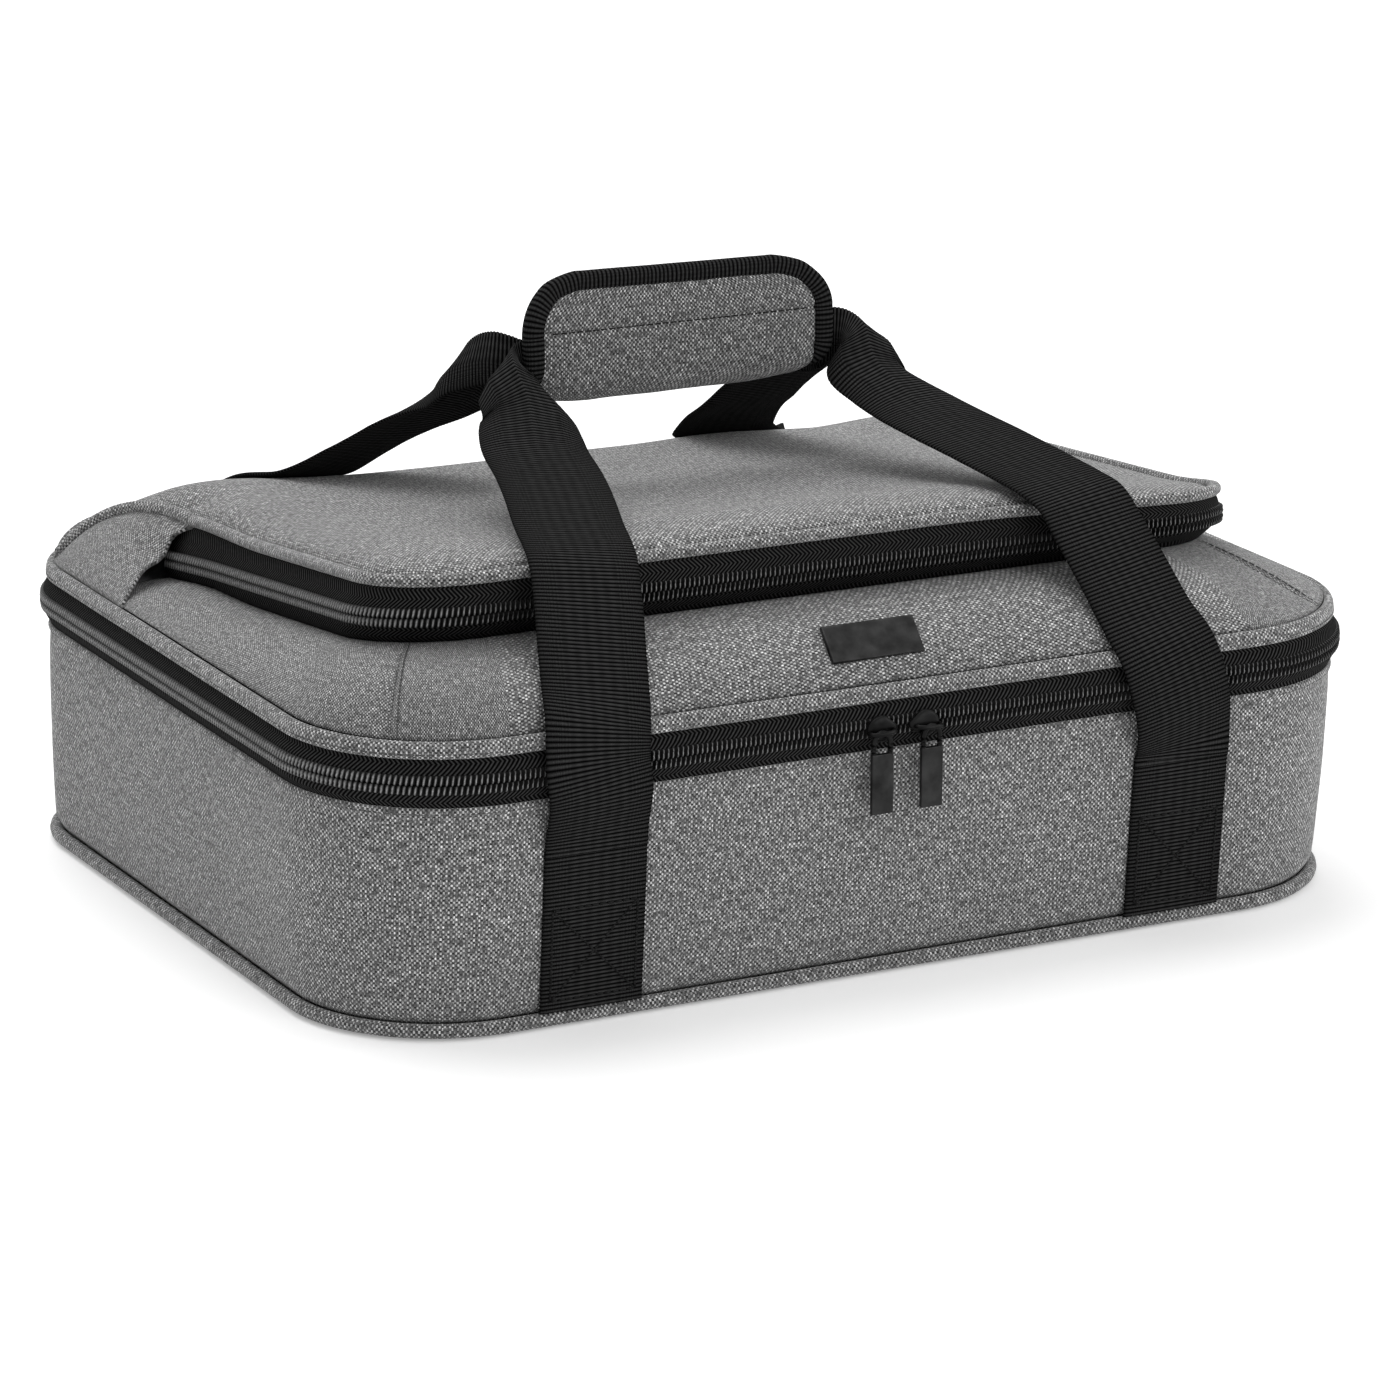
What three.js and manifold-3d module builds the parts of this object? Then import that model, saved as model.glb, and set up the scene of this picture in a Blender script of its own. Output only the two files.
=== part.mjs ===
// A casserole carrier: a soft insulated box with a zipped lid, a flat zipped pocket on the lid, and two
// webbing handles held together by a padded grip wrap.
// Millimetres, +Z up. The origin is on the floor under the body's middle, and the front faces -Y.
// In the comments, "out" is away from the body's middle in plan.
import * as THREE from "three";
import { mergeVertices } from "three/addons/utils/BufferGeometryUtils.js";
import Module from "manifold-3d";

const wasm = await Module();
wasm.setup();

// Body: outside sizes at the main zip, and how far the walls lean in at the floor.
const BODY_LENGTH = 420;
const BODY_DEPTH = 324;
const BODY_CORNER = 60;
const FLOOR_CORNER = 57;
const FLOOR_LEAN_SIDE = 3;
const FLOOR_LEAN_FRONT = 7;
const FLOOR_LEAN_REAR = 1;
const BODY_REAR_CORNER = 47;

// Layers of the walls and panels.
const FABRIC = 1.2;
const FOAM = 5;
const LINING = 0.8;
const BOARD = 2;
const FLOOR_PANEL = 2.4;
const FLOOR_EDGE_ROUND = 1.6;
const PIPING_RADIUS = 2.3;
const COVER_PIPING_RADIUS = 1.9;
const COVER_FOAM = 4;
const BINDING_TAPE = 1.4;
const SEAM_GAP = 0.3;

// Levels of the main zip, and the rim band above it.
const MAIN_ZIP_LEVEL = 95.5;
const RIM_HEIGHT = 4.8;
const RIM_BAND = 1.6;
const RIM_SWELL = 0.6;

// Coil zips: what shows of each tape half, its thickness, and the half chain on it.
const ZIP_TAPE_SHOWN = 9.6;
const ZIP_TAPE = 0.8;
const ZIP_BULGE = 2.2;
const COIL_HALF = 3.6;
const COIL_DEPTH = 1.7;
const MAIN_ZIP_REAR_TURN = 60;

// Pocket on the lid: where its zip chain runs, and how it falls towards the back.
const POCKET_INSET_SIDE = 33;
const POCKET_INSET_FRONT = 43.5;
const POCKET_CORNER = 38;
const POCKET_ZIP_RISE = 32.6;
const POCKET_FALL_DEG = 6.5;
const POCKET_SAG_RIGHT = 6;
const POCKET_FOOT_DROP = 11.5;
const POCKET_FOOT_TUCK_SIDE = 3;
const POCKET_FOOT_TUCK_FRONT = 10;
const POCKET_EDGE_RISE = 11;
const POCKET_EDGE_TUCK = 3;
const POCKET_ZIP_END = 66;
const POCKET_CHAIN_DEPTH = 2.4;
const SKIRT_SWELL = 6;
const SKIRT_SEAM = 4;
const SKIRT_FOOT_REAR = 62;

// Top panel: its fold, its crown over the edge, and where its piping comes down to the rim.
const FOLD_Y = 80;
const CROWN = 8;
const REAR_FALL_POWER = 1.3;
const CROWN_SHOULDER = 34;
const PIPING_LANDING_DEG = 24;

// Lid divider between the dish and the pocket.
const DIVIDER_FOAM = 3.5;
const DIVIDER_INSET = 5.5;

// Webbing handles.
const WEBBING_WIDTH = 40;
const WEBBING = 1.8;
const STRAP_SPACING = 238;
const STRAP_FOOT = 9;
const STRAP_SEWN_TOP = 66;
const STRAP_CLEAR = 0.9;
const CREASE_RADIUS = 1.25;
const REAR_SLIP = -29;
const REAR_HUMP = 8;

// Grip and its wrap.
const GRIP_LENGTH = 129;
const GRIP_SHIFT = -5;
const GRIP_Y = 3;
const GRIP_RISE = 206.5;
const WRAP_PAD = 4.2;
const WRAP_FOLD = 3;
const WRAP_HEIGHT = 48;
const WRAP_CORNER = 18;
const WRAP_BINDING = 3;
const FLAP_INSET = 9;
const FLAP_DROP = 7;
const CLOSURE_HEIGHT = 12;
const CLOSURE_LENGTH = 92;

// Zip sliders and pulls.
const SLIDER_SPACING = 20;
const SLIDER_WIDTH = 9;
const SLIDER_HALF_HEIGHT = 5.2;
const SLIDER_PLATE = 1.8;
const BAIL_WIDTH = 2.6;
const BAIL_BAR = 1.4;
const BAIL_GAP = 2.6;
const PULL_LENGTH = 24.4;
const PULL_WIDTH = 8.6;
const PULL_THICK = 1.4;
const PULL_BAR = 1.6;
const PULL_SLOT = 3.8;
const PULL_NECK = 6.4;
const POCKET_SLIDER_Y = 48;
const POCKET_PULL_LEAN_DEG = 78;

// Badge plate on the front skirt.
const BADGE_LENGTH = 37;
const BADGE_HEIGHT = 14.6;
const BADGE = 1;
const BADGE_SHIFT = -4.4;
const BADGE_CLIMB = 0.67;

const CORNER_STEPS = 6;
const FRONT_SPANS = 4;
const PIPING_SIDES = 8;
const RISER_STEPS = 36;

// Levels that follow from the sizes above.
const BASE_WALL_TOP = MAIN_ZIP_LEVEL - ZIP_TAPE_SHOWN;
const RIM_BOTTOM = MAIN_ZIP_LEVEL + ZIP_TAPE_SHOWN;
const RIM_TOP = RIM_BOTTOM + RIM_HEIGHT;
const FLOOR_SEAM = FLOOR_PANEL + SEAM_GAP + PIPING_RADIUS;
const WALL_FOOT = FLOOR_SEAM + PIPING_RADIUS + SEAM_GAP;
const BOARD_FOOT = FLOOR_PANEL + SEAM_GAP;
const FLOOR_FOAM_FOOT = Math.max(BOARD_FOOT + BOARD, WALL_FOOT) + SEAM_GAP;
const FLOOR_LINING_FOOT = FLOOR_FOAM_FOOT + FOAM + SEAM_GAP;
const SIDE_LAYER_FOOT = FLOOR_LINING_FOOT;
const MOUTH_BINDING_TOP = BASE_WALL_TOP - SEAM_GAP;
const SIDE_LAYER_TOP = MOUTH_BINDING_TOP - BINDING_TAPE - SEAM_GAP;
const CHAIN_OUT = ZIP_BULGE + SEAM_GAP + COIL_DEPTH;
const HALF_DEPTH = BODY_DEPTH / 2;
const POCKET_FALL = Math.tan(THREE.MathUtils.degToRad(POCKET_FALL_DEG));
const FOLDED_HALF = CREASE_RADIUS + WEBBING / 2 + SEAM_GAP;
const GRIP_FOOT = GRIP_RISE - WEBBING_WIDTH / 2;
const WRAP_FOOT = GRIP_FOOT - SEAM_GAP - WRAP_FOLD;
const WRAP_HEAD = WRAP_FOOT + WRAP_HEIGHT;
const WRAP_INSIDE = SEAM_GAP + 2 * FOLDED_HALF + SEAM_GAP;

// Materials, one fresh copy for each mesh.
const finish = (color, roughness, metalness) => () =>
  new THREE.MeshStandardMaterial({ color, roughness, metalness });
const greyCloth = finish(0x77787a, 0.92, 0);
const blackWebbing = finish(0x151517, 0.8, 0);
const zipTape = finish(0x101012, 0.85, 0);
const zipCoil = finish(0x1a1a1c, 0.45, 0);
const silverLining = finish(0xb4b7ba, 0.45, 0.1);
const whiteFoam = finish(0xe6e6e2, 0.9, 0);
const darkBoard = finish(0x2a2a2c, 0.7, 0);
const darkMetal = finish(0x2b2c2e, 0.35, 0.9);

const carrier = new THREE.Group();

function addPiece(name, geometry, material, parent = carrier) {
  const mesh = new THREE.Mesh(geometry, material());
  mesh.name = name;
  parent.add(mesh);
  return mesh;
}

// A closed solid through a row of sections. Each section runs along the piece's outside and back along its
// inside, with as many points each way, and both faces split their quads the same way. A ring joins its last
// section to its first.
function loft(sections, ring = false) {
  const count = sections[0].length;
  const position = sections.flat().flatMap((p) => [p.x, p.y, p.z]);
  const faces = [];
  const quad = (a, b, c, d) => faces.push(a, b, c, a, c, d);
  const half = count / 2;
  const spans = ring ? sections.length : sections.length - 1;
  for (let i = 0; i < spans; i++) {
    const here = i * count;
    const next = ((i + 1) % sections.length) * count;
    for (let j = 0; j < count; j++) {
      const k = (j + 1) % count;
      if (j < half) quad(here + j, here + k, next + k, next + j);
      else quad(here + k, next + k, next + j, here + j);
    }
  }
  if (!ring) {
    const end = (sections.length - 1) * count;
    for (let j = 0; j < half - 1; j++) {
      const back = count - 1 - j;
      quad(j, back, back - 1, j + 1);
      quad(end + j, end + j + 1, end + back - 1, end + back);
    }
  }
  if (signedVolume(position, faces) < 0) faces.reverse();
  const geometry = new THREE.BufferGeometry();
  geometry.setAttribute("position", new THREE.Float32BufferAttribute(position, 3));
  geometry.setIndex(faces);
  return geometry;
}

function signedVolume(position, faces) {
  const [a, b, c] = [new THREE.Vector3(), new THREE.Vector3(), new THREE.Vector3()];
  let six = 0;
  for (let i = 0; i < faces.length; i += 3) {
    a.fromArray(position, faces[i] * 3);
    b.fromArray(position, faces[i + 1] * 3);
    c.fromArray(position, faces[i + 2] * 3);
    six += a.dot(b.cross(c));
  }
  return six;
}

// A solid for joining and cutting, and back again.
function solidOf(geometry) {
  const bare = new THREE.BufferGeometry();
  bare.setAttribute("position", geometry.getAttribute("position"));
  if (geometry.index) bare.setIndex(geometry.index);
  const merged = mergeVertices(bare, 1e-4);
  return new wasm.Manifold(
    new wasm.Mesh({
      numProp: 3,
      vertProperties: new Float32Array(merged.attributes.position.array),
      triVerts: new Uint32Array(merged.index.array),
    }),
  );
}

function geometryOf(solid) {
  const mesh = solid.getMesh();
  const geometry = new THREE.BufferGeometry();
  geometry.setAttribute("position", new THREE.Float32BufferAttribute(mesh.vertProperties, 3));
  geometry.setIndex(new THREE.BufferAttribute(mesh.triVerts, 1));
  return geometry;
}

const point = (p, z, out = 0) => new THREE.Vector3(p.x + p.nx * out, p.y + p.ny * out, z);
const shifted = (p, x, y, z) => new THREE.Vector3(p.x + x, p.y + y, p.z + z);

// A rounded rectangle in plan: half its length, how far it reaches to the front and rear, its corner radius. The
// rear corners may have a length and a radius of their own.
const inset = (size, by) => Object.fromEntries(Object.entries(size).map(([key, value]) => [key, value - by]));

const bodyTop = {
  halfX: BODY_LENGTH / 2,
  front: HALF_DEPTH,
  rear: HALF_DEPTH,
  radius: BODY_CORNER,
  rearHalfX: BODY_LENGTH / 2,
  rearRadius: BODY_REAR_CORNER,
};
const bodyFloor = {
  halfX: BODY_LENGTH / 2 - FLOOR_LEAN_SIDE,
  front: HALF_DEPTH - FLOOR_LEAN_FRONT,
  rear: HALF_DEPTH - FLOOR_LEAN_REAR,
  radius: FLOOR_CORNER,
  rearHalfX: BODY_LENGTH / 2,
  rearRadius: BODY_REAR_CORNER,
};

// The body's outside at a level: it leans out from the floor to the top of the base wall.
function bodyAt(z) {
  const part = Math.min(z / BASE_WALL_TOP, 1);
  const mix = (key) => [key, THREE.MathUtils.lerp(bodyFloor[key], bodyTop[key], part)];
  return Object.fromEntries(Object.keys(bodyTop).map(mix));
}

// Points round a rounded rectangle with their outward directions. Angles count from +X, anticlockwise, and
// 90 to 450 is one whole turn from the middle of the rear.
const WHOLE_TURN = [90, 450];
const MAIN_ZIP_TURN = [180 - MAIN_ZIP_REAR_TURN, 360 + MAIN_ZIP_REAR_TURN];
const HINGE_TURN = [360 + MAIN_ZIP_REAR_TURN + 1, 540 - MAIN_ZIP_REAR_TURN - 1];
function outline(size, [from, to]) {
  const sides = [[-1, 1], [-1, -1], [1, -1], [1, 1]];
  const points = [];
  for (let corner = Math.floor((from - 90) / 90); corner * 90 + 90 < to; corner++) {
    const [sideX, sideY] = sides[corner % 4];
    const low = Math.max(from, corner * 90 + 90);
    const high = Math.min(to, corner * 90 + 180);
    const steps = Math.max(1, Math.round((CORNER_STEPS * (high - low)) / 90));
    const reach = sideY > 0 ? size.rear : size.front;
    const halfX = sideY > 0 ? (size.rearHalfX ?? size.halfX) : size.halfX;
    const radius = sideY > 0 ? (size.rearRadius ?? size.radius) : size.radius;
    for (let step = 0; step <= steps; step++) {
      const angle = THREE.MathUtils.degToRad(low + ((high - low) * step) / steps);
      const nx = Math.cos(angle);
      const ny = Math.sin(angle);
      points.push({
        x: sideX * (halfX - radius) + radius * nx,
        y: sideY * (reach - radius) + radius * ny,
        nx,
        ny,
      });
    }
  }
  return points;
}

// A band that follows a rounded rectangle: its section is a list of [out, level].
const band = (size, turn, section, ring = false) =>
  loft(outline(size, turn).map((p) => section.map(([out, z]) => point(p, z, out))), ring);

// A wall ring of the base between two levels, from a depth inside the body's outside.
function wallRing(low, high, depth, thickness) {
  const edge = (z, by) => outline(inset(bodyAt(z), by), WHOLE_TURN).map((p) => point(p, z));
  const [outLow, outHigh] = [edge(low, depth), edge(high, depth)];
  const [inLow, inHigh] = [edge(low, depth + thickness), edge(high, depth + thickness)];
  return loft(outLow.map((p, i) => [p, outHigh[i], inHigh[i], inLow[i]]), true);
}

// A flat plate in a rounded rectangle's outline.
function plate(size, low, thickness, round = 0) {
  const reach = inset(size, round);
  const shape = new THREE.Shape(outline(reach, WHOLE_TURN).map((p) => new THREE.Vector2(p.x, p.y)));
  const geometry = new THREE.ExtrudeGeometry(shape, {
    depth: thickness - round,
    bevelEnabled: round > 0,
    bevelSegments: 1,
    bevelThickness: round / 2,
    bevelSize: round,
  });
  return geometry.translate(0, 0, low + round / 2);
}

// A round section for piping, as [out, level] about a centre.
const roundSection = (radius, out, z) =>
  Array.from({ length: PIPING_SIDES }, (_, i) => {
    const angle = (2 * Math.PI * (i + 0.5)) / PIPING_SIDES;
    return [out + radius * Math.cos(angle), z + radius * Math.sin(angle)];
  });

// Base: floor, wall, insulation, lining and the lower half of the main zip.
const insideWall = FABRIC + SEAM_GAP;
const insideFoam = insideWall + FOAM + SEAM_GAP;

addPiece("base_floor_panel", plate(inset(bodyAt(0), SEAM_GAP), 0, FLOOR_PANEL, FLOOR_EDGE_ROUND), greyCloth);
addPiece(
  "base_floor_piping",
  band(bodyAt(FLOOR_SEAM), WHOLE_TURN, roundSection(PIPING_RADIUS, -PIPING_RADIUS + FABRIC, FLOOR_SEAM), true),
  greyCloth,
);
const insidePiping = 2 * PIPING_RADIUS - FABRIC + SEAM_GAP;
addPiece("base_stiffener_board", plate(inset(bodyAt(BOARD_FOOT), insidePiping), BOARD_FOOT, BOARD), darkBoard);
addPiece("base_floor_foam", plate(inset(bodyAt(WALL_FOOT), insideWall), FLOOR_FOAM_FOOT, FOAM), whiteFoam);
const insideLining = insideFoam + LINING + SEAM_GAP;
addPiece(
  "base_floor_lining",
  plate(inset(bodyAt(SIDE_LAYER_FOOT), insideLining), FLOOR_LINING_FOOT, LINING),
  silverLining,
);
addPiece("base_side_wall", wallRing(WALL_FOOT, BASE_WALL_TOP, 0, FABRIC), greyCloth);
addPiece("base_side_foam", wallRing(SIDE_LAYER_FOOT, SIDE_LAYER_TOP, insideWall, FOAM), whiteFoam);
addPiece("base_side_lining", wallRing(SIDE_LAYER_FOOT, SIDE_LAYER_TOP, insideFoam, LINING), silverLining);
addPiece(
  "base_mouth_binding",
  wallRing(MOUTH_BINDING_TOP - BINDING_TAPE, MOUTH_BINDING_TOP, insideWall, FOAM + SEAM_GAP + LINING),
  blackWebbing,
);

// The tape bulges out to carry the chain. One half of the zip is the other turned over, so "up" is the way
// from the chain's middle to the tape's sewn edge.
function zipHalf(up) {
  const z = (away) => MAIN_ZIP_LEVEL + up * away;
  const bend = COIL_HALF + SEAM_GAP;
  const tape = [
    [0, z(ZIP_TAPE_SHOWN - SEAM_GAP)],
    [ZIP_BULGE, z(bend)],
    [ZIP_BULGE, z(SEAM_GAP)],
    [ZIP_BULGE - ZIP_TAPE, z(SEAM_GAP)],
    [ZIP_BULGE - ZIP_TAPE, z(bend)],
    [-ZIP_TAPE, z(ZIP_TAPE_SHOWN - SEAM_GAP)],
  ];
  const coilIn = ZIP_BULGE + SEAM_GAP;
  const coil = [
    [coilIn, z(COIL_HALF)],
    [CHAIN_OUT, z(COIL_HALF - COIL_DEPTH / 2)],
    [CHAIN_OUT, z(SEAM_GAP)],
    [coilIn, z(SEAM_GAP)],
  ];
  return { tape, coil };
}
const hingeSection = (low, high) => [[0, low], [0, high], [-FABRIC, high], [-FABRIC, low]];

const lowerZip = zipHalf(-1);
addPiece("base_zip_tape", band(bodyTop, MAIN_ZIP_TURN, lowerZip.tape), zipTape);
addPiece("base_zip_coil", band(bodyTop, MAIN_ZIP_TURN, lowerZip.coil), zipCoil);
addPiece(
  "base_rear_hinge_tape",
  band(bodyTop, HINGE_TURN, hingeSection(BASE_WALL_TOP + SEAM_GAP, MAIN_ZIP_LEVEL - SEAM_GAP)),
  greyCloth,
);

// Lid: the upper half of the main zip, the rim band, and the divider sheet.
const upperZip = zipHalf(1);
addPiece("lid_zip_tape", band(bodyTop, MAIN_ZIP_TURN, upperZip.tape), zipTape);
addPiece("lid_zip_coil", band(bodyTop, MAIN_ZIP_TURN, upperZip.coil), zipCoil);
addPiece(
  "lid_rear_hinge_tape",
  band(bodyTop, HINGE_TURN, hingeSection(MAIN_ZIP_LEVEL + SEAM_GAP, RIM_BOTTOM - SEAM_GAP)),
  greyCloth,
);
const rimSection = [
  [0, RIM_BOTTOM],
  [RIM_SWELL, RIM_BOTTOM + RIM_HEIGHT / 4],
  [0, RIM_TOP - RIM_HEIGHT / 8],
  [-RIM_BAND / 2, RIM_TOP],
  [-RIM_BAND, RIM_TOP],
  [-RIM_BAND, RIM_TOP - RIM_HEIGHT / 8],
  [-RIM_BAND, RIM_BOTTOM + RIM_HEIGHT / 4],
  [-RIM_BAND, RIM_BOTTOM],
];
addPiece("lid_rim_band", band(bodyTop, WHOLE_TURN, rimSection, true), greyCloth);

const dividerTop = RIM_TOP - SEAM_GAP;
const dividerFoamTop = dividerTop - LINING - SEAM_GAP;
const dividerFoot = dividerFoamTop - DIVIDER_FOAM - SEAM_GAP - LINING;
const dividerEdge = inset(bodyTop, DIVIDER_INSET);
addPiece("lid_divider_upper_lining", plate(dividerEdge, dividerTop - LINING, LINING), silverLining);
addPiece("lid_divider_foam", plate(dividerEdge, dividerFoamTop - DIVIDER_FOAM, DIVIDER_FOAM), whiteFoam);
addPiece("lid_divider_lower_lining", plate(dividerEdge, dividerFoot, LINING), silverLining);
const bindingOut = RIM_BAND + SEAM_GAP;
addPiece(
  "lid_mouth_binding",
  band(
    bodyTop,
    WHOLE_TURN,
    [
      [-bindingOut, RIM_TOP - SEAM_GAP],
      [-bindingOut, dividerFoot],
      [-DIVIDER_INSET + SEAM_GAP, dividerFoot],
      [-DIVIDER_INSET + SEAM_GAP, RIM_TOP - SEAM_GAP],
    ],
    true,
  ),
  blackWebbing,
);

// Pocket on the lid. Three lines run from its left end round the front to its right end: the foot of the
// zip's lower tape, the chain, and the edge where the upper tape meets the top panel's piping.
const pocketChain = {
  halfX: bodyTop.halfX - POCKET_INSET_SIDE,
  front: HALF_DEPTH - POCKET_INSET_FRONT,
  radius: POCKET_CORNER,
};
const pocketFoot = {
  halfX: pocketChain.halfX - POCKET_FOOT_TUCK_SIDE,
  front: pocketChain.front - POCKET_FOOT_TUCK_FRONT,
  radius: pocketChain.radius,
};
const pocketEdge = {
  halfX: pocketChain.halfX - POCKET_EDGE_TUCK,
  front: pocketChain.front,
  radius: pocketChain.radius - POCKET_EDGE_TUCK,
};
const CHAIN_FRONT = RIM_TOP + POCKET_ZIP_RISE;

// The pocket sits a little lower towards the right, most of all at the front.
function sagAt(x, y) {
  const across = THREE.MathUtils.clamp((x + pocketChain.halfX) / (2 * pocketChain.halfX), 0, 1);
  const along = THREE.MathUtils.clamp((FOLD_Y - y) / (FOLD_Y + pocketChain.front), 0, 1);
  return POCKET_SAG_RIGHT * across * across * along;
}
const chainLevel = (x, y) => CHAIN_FRONT - POCKET_FALL * (y + pocketChain.front) - sagAt(x, y);
const footLevel = (x, y) => {
  const rest = RIM_TOP + FABRIC + 2 * SEAM_GAP;
  const front = CHAIN_FRONT - POCKET_FOOT_DROP;
  const along = (y + pocketFoot.front) / (POCKET_ZIP_END + pocketFoot.front);
  return THREE.MathUtils.lerp(front, rest, along) - sagAt(x, y) / 2;
};
const edgeLevel = (x, y) => chainLevel(x, y) + POCKET_EDGE_RISE;

// Points of a line that runs round the front: its left end, the left corner, the front, and so on.
function frontLine(size, rearEnd) {
  const turn = outline({ ...size, rear: rearEnd + size.radius }, [180, 360]);
  const left = turn.slice(0, CORNER_STEPS + 1);
  const right = turn.slice(CORNER_STEPS + 1);
  const first = left[left.length - 1];
  const front = Array.from({ length: FRONT_SPANS - 1 }, (_, i) => ({
    ...first,
    x: THREE.MathUtils.lerp(first.x, right[0].x, (i + 1) / FRONT_SPANS),
  }));
  return [{ ...left[0], y: rearEnd }, ...left, ...front, ...right, { ...right.at(-1), y: rearEnd }];
}
const lineAt = (line, level, out = 0) => line.map((p) => point(p, level(p.x, p.y), out));

// A stretch of a line between two places counted in points, with parts of a step allowed.
function stretch(line, from, to) {
  const at = (place) => {
    const low = Math.min(Math.floor(place), line.length - 2);
    return line[low].clone().lerp(line[low + 1], place - low);
  };
  const between = line.slice(Math.floor(from) + 1, Math.ceil(to));
  return [at(from), ...between.map((p) => p.clone()), at(to)];
}

const chainLine = frontLine(pocketChain, POCKET_ZIP_END);
const footLine = frontLine(pocketFoot, POCKET_ZIP_END);
const edgeLine = frontLine(pocketEdge, POCKET_ZIP_END);

// A strip between a lower and an upper line, with its thickness inwards.
function strip(lower, upper, lowerIn, upperIn) {
  return loft(lower.map((p, i) => [p, upper[i], upperIn[i], lowerIn[i]]));
}
const tapeFoot = (out) => lineAt(footLine, (x, y) => footLevel(x, y) + SEAM_GAP, out);
const tapeBelow = (out) => lineAt(chainLine, (x, y) => chainLevel(x, y) - SEAM_GAP, out);
const tapeAbove = (out) => lineAt(chainLine, (x, y) => chainLevel(x, y) + SEAM_GAP, out);
const tapeEdge = (out) => lineAt(edgeLine, edgeLevel, out);
const coilAt = (away, out) => lineAt(chainLine, (x, y) => chainLevel(x, y) + away, out);

addPiece(
  "pocket_lower_zip_tape",
  strip(tapeFoot(0), tapeBelow(0), tapeFoot(-ZIP_TAPE), tapeBelow(-ZIP_TAPE)),
  zipTape,
);
const chainIn = SEAM_GAP * 2;
const coilStrip = (low, high) =>
  strip(coilAt(low, POCKET_CHAIN_DEPTH), coilAt(high, POCKET_CHAIN_DEPTH), coilAt(low, chainIn), coilAt(high, chainIn));
addPiece("pocket_lower_zip_coil", coilStrip(-COIL_HALF, -SEAM_GAP), zipCoil);

// Skirt panels from the rim up to the foot of the pocket's zip, swelling in between, with seams at the corners.
const skirtSize = inset(bodyTop, RIM_BAND + 2 * SEAM_GAP);
const skirtLine = frontLine(skirtSize, SKIRT_FOOT_REAR);
const SKIRT_LEVEL = RIM_TOP + SEAM_GAP + FABRIC;
const skirtFoot = lineAt(skirtLine, () => SKIRT_LEVEL);
const skirtHead = lineAt(footLine, footLevel);
const skirtMiddle = skirtFoot.map((p, i) => {
  const swell = SKIRT_SWELL * THREE.MathUtils.clamp((skirtHead[i].z - p.z) / POCKET_FOOT_DROP, 0, 1);
  const middle = p.clone().lerp(skirtHead[i], 0.5);
  return shifted(middle, (skirtLine[i].nx * swell) / 2, (skirtLine[i].ny * swell) / 2, swell);
});
const inward = (points) =>
  points.map((p, i) => shifted(p, -skirtLine[i].nx * FABRIC, -skirtLine[i].ny * FABRIC, -FABRIC));
const skirtRows = [skirtFoot, skirtMiddle, skirtHead, inward(skirtHead), inward(skirtMiddle), inward(skirtFoot)];
const SEAM_STEP = 0.02;
const lastPlace = skirtLine.length - 1;
const skirtSpans = {
  lid_left_skirt: [0, SKIRT_SEAM - SEAM_STEP],
  lid_front_skirt: [SKIRT_SEAM + SEAM_STEP, lastPlace - SKIRT_SEAM - SEAM_STEP],
  lid_right_skirt: [lastPlace - SKIRT_SEAM + SEAM_STEP, lastPlace],
};
for (const [name, [from, to]] of Object.entries(skirtSpans)) {
  const rows = skirtRows.map((row) => stretch(row, from, to));
  addPiece(name, loft(rows[0].map((_, i) => rows.map((row) => row[i]))), greyCloth);
}

// Piping at each side: from the fold it bows out and comes down to the rim's rear corner.
const rimCorner = outline(skirtSize, [360, 360 + PIPING_LANDING_DEG]).at(-1);
const pipingLift = SEAM_GAP + COVER_PIPING_RADIUS;
const pipingStart = new THREE.Vector3(
  pocketEdge.halfX,
  POCKET_ZIP_END + 2 * SEAM_GAP,
  edgeLevel(-pocketEdge.halfX, POCKET_ZIP_END) + pipingLift,
);
const pipingEnd = point(rimCorner, RIM_TOP + pipingLift, -COVER_PIPING_RADIUS);
const sidePiping = new THREE.CubicBezierCurve3(
  pipingStart,
  shifted(pipingStart, 4, 0.62 * (pipingEnd.y - pipingStart.y), 1),
  shifted(pipingEnd, -12, -0.18 * (pipingEnd.y - pipingStart.y), 15),
  pipingEnd,
);
const PIPING_STEPS = 10;

// The sideways and upright directions across a line of points.
function acrossAt(points, i) {
  const ahead = points[Math.min(i + 1, points.length - 1)];
  const behind = points[Math.max(i - 1, 0)];
  const along = ahead.clone().sub(behind).normalize();
  const side = new THREE.Vector3(0, 0, 1).cross(along).normalize();
  return { side, up: along.cross(side) };
}

function tubeAlong(points, radius) {
  const sections = points.map((p, i) => {
    const { side, up } = acrossAt(points, i);
    return roundSection(radius, 0, 0).map(([a, b]) => p.clone().addScaledVector(side, a).addScaledVector(up, b));
  });
  return loft(sections);
}
const mirrored = (points) => points.map((p) => new THREE.Vector3(-p.x, p.y, p.z));
const sidePipingPoints = sidePiping.getPoints(PIPING_STEPS);

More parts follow.
